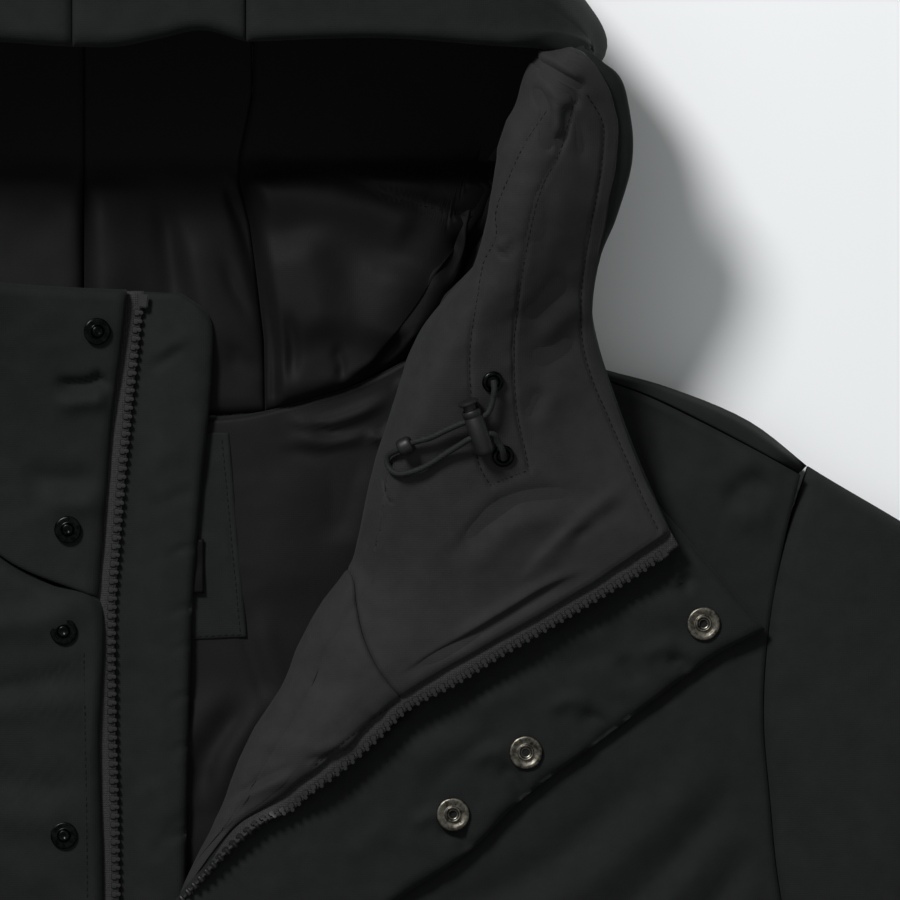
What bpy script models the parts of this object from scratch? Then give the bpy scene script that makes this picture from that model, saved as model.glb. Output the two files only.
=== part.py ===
"""Hooded padded jacket, laid flat on its back with its left front turned open.

The jacket lies on the XY plane: +Y points to the hood, +X to the wearer's left, +Z up.
The origin is under the middle of its outline. Every size in the tables is in millimetres.
"""
import math

import bmesh
import bpy
from mathutils import Vector
from mathutils.bvhtree import BVHTree

MM = 0.001
SEAM_GAP = 0.3          # between two pieces at a seam

# Layers of the laid-out jacket, heights above the floor
BACK_TOP = 12.0         # padded back panel
LINING_TOP = 13.4       # back lining on it
FRONT_BOTTOM = 15.0     # both fronts lie on the lining
FRONT_THICK = 12.0
FRONT_MID = FRONT_BOTTOM + FRONT_THICK / 2
TURN_MID = 34.5         # middle of the left front just past its fold
LAPEL_MID = 41.5        # middle of the turned-out layer at the zip
FLAP_MID = 31.6
FLAP_THICK = 6.0
HOOD_THICK = 9.0
FLOOR_MID = HOOD_THICK / 2
EDGE_HALF = 2.6         # half-thickness where a padded edge is pinched to the zip
LINING_THICK = 1.2
FACING_THICK = 1.5

# Main lengths
HEM_Y = -462.0
HEM_HALF = 300.0
ZIP_RIGHT_Y = 274.0     # top end of the right half of the zip
ZIP_WIDTH = 10.0        # tape and chain that stand out of the seam
ZIP_THICK = 2.2
ZIP_LEAD = 2.4          # the tape stands this far off the front where it turns over the fold
SOCKET_RADIUS = 6.8
STUD_RADIUS = 5.4

# Back neckline, centre to shoulder: x, y
NECKLINE = ((0.0, 223.0), (34.0, 225.0), (46.0, 227.6), (60.0, 231.4), (72.0, 235.0), (82.0, 239.2),
            (90.0, 243.2), (98.0, 247.8), (106.0, 252.6), (112.0, 256.6))

# Shoulder, neck to sleeve: contour x, y and the seam in front of it
SHOULDER = (
    # outer x, outer y, seam x, seam y
    (116.0, 259.5, 116.0, 258.3),
    (130.0, 257.0, 130.0, 254.2),
    (152.0, 251.0, 150.0, 247.0),
    (176.8, 242.4, 176.0, 238.4),
    (200.0, 236.0, 196.0, 231.0),
    (234.0, 222.0, 226.0, 216.0),
    (262.0, 204.0, 255.0, 201.0),
)

# Armhole and side seam, shoulder to hem: x, y
ARMHOLE = ((255.0, 200.0), (250.0, 180.0), (243.0, 145.0), (240.0, 105.0), (242.5, 70.0), (247.0, 30.0),
           (257.0, -8.0), (272.0, -34.0), (290.0, -50.0))
SIDE_SEAM = ((290.0, -50.0), (293.0, -130.0), (296.0, -240.0), (298.0, -350.0), (300.0, HEM_Y))

# Sleeve outline, shoulder to cuff: outer edge and inner edge
SLEEVE_OUTER = ((262.0, 203.0), (305.0, 177.0), (348.0, 137.0), (388.0, 88.0), (432.0, 28.0), (481.0, -57.0),
                (532.0, -147.0), (580.0, -231.0), (628.0, -314.0))
SLEEVE_INNER = ((290.0, -50.0), (337.0, -106.0), (385.0, -168.0), (433.0, -233.0), (481.0, -303.0),
                (528.0, -372.0))

# Turned-out left side, crown to neck seam: middle line of each cross-section through the hood wall
HOOD_LEFT = (
    # edge                  crown or roll top      outermost or roll       side                    floor
    ((34, 373, 101), (34, 425, 99), (34, 458.4, 55), (34, 440, 15), (34, 405, 4.5)),
    ((88, 374.5, 100), (100, 417, 97), (110, 439, 53), (101, 423, 15), (92, 396, 4.5)),
    ((135, 372.5, 97), (150, 397, 88), (161, 402, 52), (147, 389, 15), (132, 368, 4.5)),
    ((160, 369, 92), (171, 376, 78), (177, 376, 50), (162, 366, 15), (142, 350, 4.5)),
    ((177, 358, 84), (158, 360, 93), (150, 361, 85), (161, 356, 40), (142, 338, 4.5)),
    ((182, 343, 78), (152, 344, 92), (144, 345, 84), (156, 341, 36), (138, 325, 4.5)),
    ((182, 325, 74), (146, 326, 89), (138, 327, 81), (152, 324, 36), (134, 308, 4.5)),
    ((178, 305, 69), (142, 306, 86), (134, 307, 78), (147, 305, 36), (129, 292, 4.5)),
    ((173, 288, 64), (139, 289, 80), (130.5, 290, 72), (141, 290, 36), (126, 280, 4.8)),
    ((170.5, 272, 58), (131, 276, 75), (123.5, 277, 67), (129, 281, 42), (121, 275, 21)),
    ((172, 256, 51), (118, 260, 67), (110.5, 261, 58), (105.5, 258, 40), (106, 252, 24)),
    ((181, 228, 44), (106, 227, 58), (98.8, 229, 50), (96.5, 229, 36), (98.5, 228, 23.5)),
    ((192, 200, 42), (98, 202, 52), (91.5, 204, 45), (89.5, 204, 33), (92, 203, 23)),
    ((202.4, 177, 42), (94.5, 189, 48), (88, 191, 41), (86.5, 191, 31), (89, 190, 22.6)),
    ((170, 155.5, 41.5), (93, 180, 45), (86, 183, 38), (85.5, 183, 30), (88, 182, 22.4)),
    ((130, 132, 41.5), (90, 169, 40), (84, 173, 33.5), (83.7, 174, 28), (86, 173, 22)),
)
# where each of those sections meets the neck seam: x, y, z
HOOD_LEFT_NECK = NECKLINE[1:9] + (NECKLINE[9],)
HOOD_LEFT_NECK_RISE = ((111.5, 265.5, 14.0), (111.6, 247.0, 21.0), (104.8, 226.0, 21.0), (98.8, 202.0, 21.0),
                       (95.3, 188.0, 21.0), (93.6, 179.0, 21.0), (91.2, 170.0, 21.0))

# Right side, crown to chin, lying in place
HOOD_RIGHT = (
    # edge                     crown                  outermost               side                    floor
    ((-34, 373, 101), (-34, 425, 99), (-34, 458.4, 55), (-34, 440, 15), (-34, 405, 4.5)),
    ((-88, 374.5, 100), (-100, 417, 97), (-110, 439, 53), (-101, 423, 15), (-92, 396, 4.5)),
    ((-135, 372.5, 97), (-150, 397, 88), (-161, 402, 52), (-147, 389, 15), (-132, 368, 4.5)),
    ((-160, 362, 92), (-174, 368, 76), (-181, 368, 48), (-166, 358, 15), (-148, 342, 4.5)),
    ((-168, 342, 88), (-179, 341, 72), (-183, 340, 48), (-170, 334, 15), (-150, 320, 4.5)),
    ((-163, 322, 82), (-175, 315, 68), (-180, 311, 46), (-166, 308, 15), (-145, 298, 4.5)),
    ((-148, 304, 74), (-160, 292, 66), (-166, 287, 46), (-155, 288, 16), (-134, 280, 4.5)),
    ((-124, 290, 62), (-134, 277, 60), (-139, 272, 50), (-132, 277, 36), (-122, 276, 21)),
    ((-100, 281, 50), (-105, 272, 50), (-106, 262, 44), (-103, 256, 32), (-105, 252, 23.0)),
    ((-80, 278.5, 42), (-86, 266, 42), (-90, 252, 38), (-93, 238, 30), (-98, 226, 22)),
    ((-58, 276.5, 34), (-64, 262, 34), (-70, 242, 31), (-78, 222, 26), (-84, 206, 21.7)),
    ((-37, 275.3, 28), (-42, 258, 28), (-47, 234, 26), (-54, 208, 23), (-60, 185, 21.3)),
    ((-16.0, 274.5, 24), (-18.2, 252, 23), (-22.0, 222, 21.5), (-24.0, 197, 21), (-26.0, 170, 21)),
)
HOOD_RIGHT_NECK = ((-34.0, 225.0, FLOOR_MID), (-46.0, 227.6, FLOOR_MID), (-60.0, 231.4, FLOOR_MID),
                   (-72.0, 235.0, FLOOR_MID), (-82.0, 239.2, FLOOR_MID), (-98.0, 247.8, FLOOR_MID),
                   (-112.0, 257.4, FLOOR_MID), (-111.5, 265.5, 14.0), (-110.6, 244.0, 21.0),
                   (-103.6, 219.2, 21.0), (-89.6, 193.2, 21.0), (-65.0, 166.4, 21.0), (-27.6, 150.5, 21.0))

# Fold of the left front, zip crossing to neck seam: roll edge and zip edge
LAPEL = (
    # roll x, roll y, zip x, zip y, turned part of the half circle
    (8.0, 43.2, 0.0, 0.0, 0.55),
    (22.8, 65.6, 0.0, 0.0, 0.8),
    (34.0, 93.2, 49.0, 74.0, 1.0),
    (46.8, 114.0, 60.0, 82.2, 1.0),
    (54.0, 131.2, 72.0, 92.0, 1.0),
    (62.0, 146.0, 84.0, 103.2, 1.0),
    (75.0, 164.0, 94.0, 111.2, 1.0),
)
ROLL_OUT = Vector((0.87, -0.49, 0.0))   # square to the roll line, away from it
ALONG_ROLL = Vector((0.49, 0.87, 0.0))
ROLL_RADIUS = (TURN_MID - FRONT_MID) / 2

# Left front below the fold: front edge and its height there
FRONT_EDGE_LEFT = ((-3.0, HEM_Y), (-3.0, -350.0), (-3.0, -240.0), (-3.0, -130.0), (-2.0, -40.0), (3.0, 6.0))
FRONT_EDGE_MID = 26.2
# Left front neckline, neck seam at the fold to the shoulder
FRONT_NECK_LEFT = ((91.7, 170.0), (94.2, 179.0), (96.0, 188.0), (99.7, 202.0), (105.6, 226.0),
                   (113.0, 246.0), (116.5, 258.0))

# Right front: its front edge, hem to neck seam, and the neckline from there to the shoulder
FRONT_EDGE_RIGHT = ((-26.0, HEM_Y), (-26.0, -350.0), (-26.0, -240.0), (-26.0, -130.0), (-25.6, -30.0),
                    (-25.2, 30.0), (-26.8, 90.0), (-27.2, 149.7))
FRONT_NECK_RIGHT = ((-46.0, 155.6), (-65.0, 165.5), (-78.0, 178.0), (-90.4, 192.6), (-104.6, 218.7),
                    (-112.2, 240.6), (-117.3, 257.6))
ZIP_EDGE_RIGHT = ((-26.0, HEM_Y), (-26.0, -300.0), (-26.0, -150.0), (-25.2, 30.0), (-27.2, 132.0),
                  (-26.0, 162.0), (-23.6, 192.0), (-21.2, 220.0), (-17.2, 252.0), (-15.2, ZIP_RIGHT_Y))
WIND_GUARD_EDGE = ((8.0, HEM_Y), (8.0, -300.0), (8.0, -150.0), (7.6, 35.0), (9.6, 130.0), (10.4, 152.0),
                   (14.0, 197.0), (18.0, 240.0), (17.0, 264.0), (6.0, 273.0))
WIND_GUARD_TOP = 19.5

# Storm flap, hem to top end: sewn edge, fold (or none) and free edge
STORM_FLAP = (
    # sewn x, y, z          fold x, y or None     free x, y, z
    ((-4, HEM_Y, 31.6), None, (-56, HEM_Y, 36)),
    ((-4, -330, 31.6), None, (-56, -330, 36)),
    ((-4, -200, 31.6), None, (-56, -200, 36)),
    ((-4, -126, 31.6), None, (-56, -122, 37)),
    ((-4, -85, 31.8), (-41, -88), (-24, -98, 41)),
    ((-4, -45, 32.0), (-26, -46), (6, -56, 40)),
    ((-4, -12, 32.4), (-13, -12), (32, -18, 38)),
    ((6, 17, 37.0), None, (52, -2, 35.5)),
    ((30, 36, 37.0), None, (66, 9, 35)),
    ((46, 54, 35.0), None, (80, 20, 33)),
    ((60, 74, FLAP_MID), None, (98, 33, FLAP_MID)),
    ((80, 92, FLAP_MID), None, (122, 49.2, FLAP_MID)),
    ((108, 118, FLAP_MID), None, (142, 69.2, FLAP_MID)),
    ((142, 146, FLAP_MID), None, (174, 93.2, FLAP_MID)),
    ((166, 166, FLAP_MID), None, (198.8, 112, FLAP_MID)),
    ((179, 183, FLAP_MID), None, (221, 128, FLAP_MID)),
    ((190, 197, FLAP_MID), None, (240.4, 138, FLAP_MID)),
)

# Left half of the zip along the turned-out layer: x, y
ZIP_EDGE_LEFT = ((94.0, 111.2), (114.0, 122.0), (130.0, 132.0), (150.0, 143.6), (170.0, 155.5), (187.0, 166.0),
                 (202.4, 177.0))

# Snap sockets on the flap's lining side, top to hem: x, y, and whether they look up or down
SOCKETS = ((215.6, 140.4, "up"), (144.4, 88.8, "up"), (115.2, 64.0, "up"), (48.0, 7.2, "up"), (19.0, -16.0, "up"),
           (-19.0, -67.0, "up"), (-27.4, -108.0, "down"), (-41.0, -188.8, "down"), (-41.0, -228.8, "down"),
           (-41.0, -310.8, "down"), (-41.0, -350.8, "down"), (-41.0, -432.8, "down"))
# Snap studs on the right front, top to hem: x, y
STUDS = ((-27.6, 257.6), (-39.6, 178.0), (-41.2, 137.2), (-41.0, 55.2), (-41.0, 15.2), (-44.0, -66.8),
         (-41.0, -106.8), (-41.0, -188.8), (-41.0, -228.8), (-41.0, -310.8), (-41.0, -350.8), (-41.0, -432.8))
# closed outlines of the turned fittings: radius, height over the cloth
SOCKET_PROFILE = ((1.6, 0.0), (SOCKET_RADIUS, 0.0), (SOCKET_RADIUS, 0.5), (SOCKET_RADIUS - 0.8, 1.3), (3.4, 0.7),
                  (3.0, 1.2), (1.6, 1.1))
SOCKET_STEPS = 14
STUD_PROFILE = ((0.0, 0.0), (STUD_RADIUS, 0.0), (STUD_RADIUS, 0.7), (2.4, 1.1), (1.9, 2.3), (0.0, 2.5))
STUD_STEPS = 12
EYELETS = ((131.0, 237.0), (135.2, 207.6))
EYELET_RADIUS = 4.4
EYELET_PROFILE = ((2.2, 0.0), (EYELET_RADIUS, 0.0), (EYELET_RADIUS - 0.3, 0.7), (3.3, 1.1), (2.4, 0.8))
EYELET_STEPS = 20

# Cord lock on the facing: a barrel with a spring button that slides into its upper end
LOCK_TOP = (120.8, 229.6)       # rim of the button
LOCK_FOOT = (128.4, 208.4)
LOCK_RADIUS = 3.9
BARREL_START = 4.1              # along the lock from the rim
BORE_RADIUS = 2.9
BORE_DEPTH = 12.0
RIM_RADIUS = 4.1
RIM_THICK = 1.6
BUTTON_RADIUS = 2.6
BUTTON_LENGTH = 11.5
LOCK_STEPS = 16

# Drawcord: where it runs over the facing, x, y and height over the cloth
CORD_RADIUS = 1.2
CORD_PITCH = 3.6
CORD_UPPER = ((131.0, 238.0, 0.4), (130.9, 235.0, 2.0), (130.5, 232.2, 2.1), (129.4, 228.4, 2.8), (127.4, 224.5, 3.2))
CORD_LOOP = ((118.9, 221.5, 3.2), (112.0, 218.4, 2.6), (105.0, 215.2, 2.6), (100.6, 213.0, 2.9), (95.2, 210.3, 2.9),
             (91.8, 207.6, 1.6), (90.8, 204.4, 1.2), (92.4, 201.6, 1.0), (96.4, 200.6, 0.8), (102.0, 202.8, 0.6),
             (108.0, 206.0, 0.6), (114.6, 210.6, 1.4), (121.3, 215.0, 3.2))
CORD_LOWER = ((130.5, 217.1, 3.2), (132.6, 213.8, 2.3), (134.2, 211.2, 2.1), (134.9, 209.0, 1.9), (135.2, 206.6, 0.4))
BEAD_SPAN = ((100.6, 213.0), (95.2, 210.3))
BEAD_PROFILE = ((1.6, 0.0), (2.9, 0.0), (3.5, 1.2), (3.5, 4.8), (2.9, 6.0), (1.6, 6.0))
BEAD_STEPS = 12
BEAD_RISE = 2.9

# Zip fittings at the hem of the right half, and the stops at the top of both halves
SLIDER_X = -19.6
ZIP_BOX = (8.0, 8.0, 4.6)
SLIDER = (9.0, 9.0, 5.2)
PULL_TAB = (5.0, 17.0, 1.2)
PULL_OVERLAP = 2.0      # how far the tab reaches back over the slider
STOP = (5.6, 4.0, 1.6)
STOP_LEFT = ((198.4, 168.2), Vector((0.83, 0.56, 0.0)))
STOP_RIGHT = ((-9.4, 270.0), Vector((0.1, 1.0, 0.0)))


HOOD_COLS = 15
HOOD_TOP_COL = 4        # column of the crown or of the roll's top
ARMHOLE_STEPS = 8


def v3(point, z=0.0):
    """A table's point as a vector, with a height for the flat ones."""
    return Vector(point) if len(point) == 3 else Vector((point[0], point[1], z))


def smooth_line(points, count):
    """Even points on a centripetal spline through the given points."""
    pts = [Vector(p) for p in points]
    ext = [2 * pts[0] - pts[1]] + pts + [2 * pts[-1] - pts[-2]]
    fine = []
    for i in range(len(pts) - 1):
        p0, p1, p2, p3 = ext[i:i + 4]
        t0 = 0.0
        t1 = t0 + math.sqrt(max((p1 - p0).length, 1e-6))
        t2 = t1 + math.sqrt(max((p2 - p1).length, 1e-6))
        t3 = t2 + math.sqrt(max((p3 - p2).length, 1e-6))
        for k in range(12):
            t = t1 + (t2 - t1) * k / 12
            a1 = p0.lerp(p1, (t - t0) / (t1 - t0))
            a2 = p1.lerp(p2, (t - t1) / (t2 - t1))
            a3 = p2.lerp(p3, (t - t2) / (t3 - t2))
            b1 = a1.lerp(a2, (t - t0) / (t2 - t0))
            b2 = a2.lerp(a3, (t - t1) / (t3 - t1))
            fine.append(b1.lerp(b2, (t - t1) / (t2 - t1)))
    fine.append(pts[-1])
    return even_points(fine, count)


def even_points(line, count):
    """The given number of evenly spaced points along a polyline."""
    reach = [0.0]
    for a, b in zip(line, line[1:]):
        reach.append(reach[-1] + (b - a).length)
    out = []
    seg = 0
    for k in range(count):
        want = reach[-1] * k / (count - 1)
        while seg < len(line) - 2 and reach[seg + 1] < want:
            seg += 1
        span = max(reach[seg + 1] - reach[seg], 1e-9)
        out.append(line[seg].lerp(line[seg + 1], (want - reach[seg]) / span))
    return out


def coons(bottom, top, left, right):
    """A grid of points that fills the space between four edges."""
    rows, cols = len(left), len(bottom)
    grid = []
    for i in range(rows):
        v = i / (rows - 1)
        line = []
        for j in range(cols):
            u = j / (cols - 1)
            ruled = bottom[j] * (1 - v) + top[j] * v + left[i] * (1 - u) + right[i] * u
            corners = (bottom[0] * (1 - u) + bottom[-1] * u) * (1 - v) + (top[0] * (1 - u) + top[-1] * u) * v
            line.append(ruled - corners)
        grid.append(line)
    return grid


def finish(name, colour, rough, metal=0.0):
    """A plain principled material."""
    mat = bpy.data.materials.get(name) or bpy.data.materials.new(name)
    mat.use_nodes = True
    node = mat.node_tree.nodes["Principled BSDF"]
    node.inputs["Base Color"].default_value = (*colour, 1.0)
    node.inputs["Roughness"].default_value = rough
    node.inputs["Metallic"].default_value = metal
    return mat


def shell_cloth():
    return finish("shell_cloth", (0.016, 0.017, 0.017), 0.62)


def lining_cloth():
    return finish("lining_cloth", (0.010, 0.010, 0.010), 0.55)


def black_plastic():
    return finish("black_plastic", (0.012, 0.012, 0.012), 0.35)


def zip_tape_cloth():
    return finish("zip_tape_cloth", (0.014, 0.014, 0.014), 0.8)


def label_cloth():
    return finish("label_cloth", (0.008, 0.008, 0.008), 0.6)


def cord_braid():
    return finish("cord_braid", (0.015, 0.015, 0.015), 0.7)


def aged_steel():
    return finish("aged_steel", (0.36, 0.35, 0.31), 0.3, 1.0)


def black_metal():
    return finish("black_metal", (0.02, 0.02, 0.02), 0.25, 1.0)


def add_mesh(name, points, faces, material):
    """A mesh object from points in millimetres, with its faces pointing out."""
    mesh = bpy.data.meshes.new(name)
    mesh.from_pydata([tuple(p * MM) for p in points], [], faces)
    mesh.validate()
    volume = 0.0
    for face in faces:
        a = points[face[0]]
        for b, c in zip(face[1:], face[2:]):
            volume += a.dot(points[b].cross(points[c]))
    if volume < 0:
        mesh.flip_normals()
    mesh.shade_smooth()
    mesh.set_sharp_from_angle(angle=math.radians(50))
    mesh.materials.append(material)
    part = bpy.data.objects.new(name, mesh)
    bpy.context.scene.collection.objects.link(part)
    return part


class Sheet:
    """The middle surface of a sewn panel: quads with a thickness on each side."""

    def __init__(self):
        self.points = []
        self.outer = []
        self.inner = []
        self.quads = []
        self.index = {}
        self.seams = {}
        self.upright = set()

    def vertex(self, point, outer, inner):
        key = tuple(round(c, 3) for c in point)
        if key not in self.index:
            self.index[key] = len(self.points)
            self.points.append(point.copy())
            self.outer.append(outer)
            self.inner.append(inner)
        return self.index[key]

    def patch(self, grid, outer, inner):
        """Add a grid of points. The thicknesses are functions of row and column."""
        ids = [[self.vertex(p, outer(i, j), inner(i, j)) for j, p in enumerate(row)] for i, row in enumerate(grid)]
        first = len(self.quads)
        for low, high in zip(ids, ids[1:]):
            for j in range(len(low) - 1):
                self.quads.append((low[j], low[j + 1], high[j + 1], high[j]))
        return range(first, len(self.quads))

    def seam(self, points, across):
        """Keep the wall's edge square to a seam: across is the direction over the seam."""
        for p in points:
            self.seams[self.index[tuple(round(c, 3) for c in p)]] = across.normalized()

    def level(self, point):
        """Keep the wall upright in its thickness at this point."""
        self.upright.add(self.index[tuple(round(c, 3) for c in point)])

    def normals(self):
        out = [Vector() for _ in self.points]
        for quad in self.quads:
            a, b, c, d = (self.points[k] for k in quad)
            normal = (c - a).cross(d - b)
            for k in quad:
                out[k] += normal
        for k, across in self.seams.items():
            out[k] -= across * out[k].dot(across)
        for k in self.upright:
            out[k] = Vector((0, 0, math.copysign(1.0, out[k].z)))
        return [n.normalized() for n in out]

    def pull_in(self, quads, amount):
        """Small moves that draw the edge of some quads in over the surface."""
        border, centres = set(), {}
        edges = {(a, b) for quad in quads for a, b in zip(quad, quad[1:] + quad[:1])}
        for quad in quads:
            middle = sum((self.points[k] for k in quad), Vector()) / 4
            for a, b in zip(quad, quad[1:] + quad[:1]):
                centres.setdefault(a, []).append(middle)
                if (b, a) not in edges:
                    border |= {a, b}
        moves = {}
        for k in border:
            inwards = sum(centres[k], Vector()) / len(centres[k]) - self.points[k]
            moves[k] = inwards.normalized() * amount
        return moves

    def wall(self, name, material, near=None, far=None, quads=None, floor=None, edge_in=0.0):
        """A closed wall between two offsets from the middle surface."""
        normals = self.normals()
        quads = [self.quads[k] for k in quads] if quads is not None else self.quads
        used = sorted({k for quad in quads for k in quad})
        slot = {k: n for n, k in enumerate(used)}
        moves = self.pull_in(quads, edge_in) if edge_in else {}
        near = near or (lambda k: -self.inner[k])
        far = far or (lambda k: self.outer[k])
        points = []
        for offset in (far, near):
            for k in used:
                p = self.points[k] + normals[k] * offset(k) + moves.get(k, Vector())
                if floor is not None:
                    p.z = max(p.z, floor)
                points.append(p)
        count = len(used)
        faces = []
        edges = {}
        for quad in quads:
            ring = [slot[k] for k in quad]
            for a, b, c in ((ring[0], ring[1], ring[2]), (ring[0], ring[2], ring[3])):
                faces.append((a, b, c))
                faces.append((count + c, count + b, count + a))
            for a, b in zip(ring, ring[1:] + ring[:1]):
                edges[(a, b)] = True
        for a, b in edges:
            if (b, a) not in edges:
                faces.append((b, a, count + a, count + b))
        return add_mesh(name, points, faces, material)


def slab(name, top, bottom, material):
    """A closed solid between two grids of the same shape."""
    rows, cols = len(top), len(top[0])
    points = [p for row in top for p in row] + [p for row in bottom for p in row]
    count = rows * cols
    faces = []
    for i in range(rows - 1):
        for j in range(cols - 1):
            a, b, c, d = i * cols + j, i * cols + j + 1, (i + 1) * cols + j + 1, (i + 1) * cols + j
            faces += [(a, b, c), (a, c, d), (count + c, count + b, count + a), (count + d, count + c, count + a)]
    ring = [j for j in range(cols)] + [i * cols + cols - 1 for i in range(1, rows)]
    ring += [(rows - 1) * cols + j for j in range(cols - 2, -1, -1)] + [i * cols for i in range(rows - 2, 0, -1)]
    for a, b in zip(ring, ring[1:] + ring[:1]):
        faces.append((b, a, count + a, count + b))
    return add_mesh(name, points, faces, material)


def mirror(points):
    return [Vector((-p.x, p.y, p.z)) for p in points]


def armhole_line():
    """The armhole seam, armpit to shoulder, with the points that every piece on it shares."""
    return smooth_line([v3(p) for p in ARMHOLE], ARMHOLE_STEPS + 1)[::-1]


def side_line(rows):
    """The right edge of a body panel in so many rows, hem to shoulder."""
    side = even_points([v3(p) for p in SIDE_SEAM], rows - ARMHOLE_STEPS)[::-1]
    return side + armhole_line()[1:]


def inset_line(line, middle, gap):
    """Move each point of an edge a little towards a middle point's side in X."""
    return [Vector((p.x - gap if p.x > middle else p.x + gap, p.y, p.z)) for p in line]


def build_back_panel():
    """Flat padded back with a raised rim that wraps over each shoulder."""
    half = SEAM_GAP / 2
    neck = [v3(p) - Vector((0, half, 0)) for p in NECKLINE]
    right = inset_line(side_line(15), 0.0, half)
    right[-1] = Vector((255.0 - half, 200.4, 0))
    left = mirror(right)
    seam = [Vector((s[2], s[3], 0)) for s in SHOULDER]
    seam[-1] = Vector((255.0 - half, 200.4, 0))
    rim_outer = [Vector((s[0], s[1], 0)) for s in SHOULDER]
    rim_outer[-1] = Vector((258.5, 205.0, 0))
    drop = Vector((0, 1.6, 0))
    top_row = [p - drop for p in neck] + seam
    top_row = mirror(top_row[:0:-1]) + top_row
    cols = len(top_row)
    hem = [Vector((-HEM_HALF + 2 * HEM_HALF * j / (cols - 1), HEM_Y, 0)) for j in range(cols)]
    hem = [Vector((h.x * 0.5 + t.x * 0.5 * HEM_HALF / 255.0, HEM_Y, 0)) for h, t in zip(hem, top_row)]
    hem[0].x, hem[-1].x = left[0].x, right[0].x
    grid = coons(hem, top_row, left, right)
    last = len(grid) - 1
    top, bottom = [], []
    for i, row in enumerate(grid):
        top.append([p + Vector((0, 0, 8.5 if j in (0, cols - 1) or i == 0 else BACK_TOP)) for j, p in enumerate(row)])
        bottom.append([p.copy() for p in row])
    outer_half = [p.copy() for p in neck] + rim_outer
    outer_row = mirror(outer_half[:0:-1]) + outer_half
    rim_index = {len(NECKLINE) + k for k in range(1, len(SHOULDER))}
    middle = len(NECKLINE) + len(SHOULDER) - 1

    def is_rim(j):
        return abs(j - middle) in rim_index

    for share, rim_top, rim_bottom in ((0.04, 25.6, 0.0), (0.55, 25.2, 0.0), (1.0, 15.5, 7.5)):
        high, low = [], []
        for j in range(cols):
            base = grid[last][j].lerp(outer_row[j], share)
            lift = rim_top if is_rim(j) else BACK_TOP
            rest = rim_bottom if is_rim(j) else 0.0
            high.append(base + Vector((0, 0, lift)))
            low.append(base + Vector((0, 0, rest)))
        top.append(high)
        bottom.append(low)
    return slab("back_panel", top, bottom, shell_cloth())


def build_back_lining():
    """Thin lining on the back panel, where the open neck shows it."""
    left_x, right_x, low_y = -60.0, 150.0, -20.0
    xs = [-60, -40, -20, 0, 20, 34, 46, 60, 72, 82, 90, 98, 106]
    top_y = {abs(x): y for x, y in NECKLINE}
    bottom_row, top_row = [], []
    for x in xs:
        near = top_y.get(abs(x)) or 223.0 + (abs(x) / 34.0) ** 2 * 2.0 - 0.5
        bottom_row.append(Vector((left_x + (right_x - left_x) * (x + 60) / 166.0, low_y, 0)))
        top_row.append(Vector((x, near - 1.0, 0)))
    rows = 6
    left = [bottom_row[0].lerp(top_row[0], i / (rows - 1)) for i in range(rows)]
    right = [bottom_row[-1].lerp(top_row[-1], i / (rows - 1)) for i in range(rows)]
    grid = coons(bottom_row, top_row, left, right)
    base, lift = Vector((0, 0, BACK_TOP + SEAM_GAP)), Vector((0, 0, LINING_TOP - 0.1))
    return slab("back_lining", [[p + lift for p in row] for row in grid], [[p + base for p in row] for row in grid],
                lining_cloth())


FRONT_COLUMNS = (0.0, 0.05, 0.12, 0.24, 0.38, 0.53, 0.69, 0.85, 1.0)


def spread(line, shares):
    """Points of an even line moved to the given shares of its length."""
    dense = even_points(line, 201)
    return [dense[round(200 * s)].copy() for s in shares]


def body_under(i, j, cols):
    """Half-thickness on the lining side: at the side seam it comes down to the back's edge."""
    return FRONT_MID - BACK_TOP - SEAM_GAP if j == cols - 1 else FRONT_THICK / 2


def body_bulge(i, j, rows, cols):
    """Half-thickness on the outer side of a front: softer at its edges."""
    at_edge = j == cols - 1 or i in (0, rows - 1)
    return 4.0 if at_edge else FRONT_THICK / 2


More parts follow.
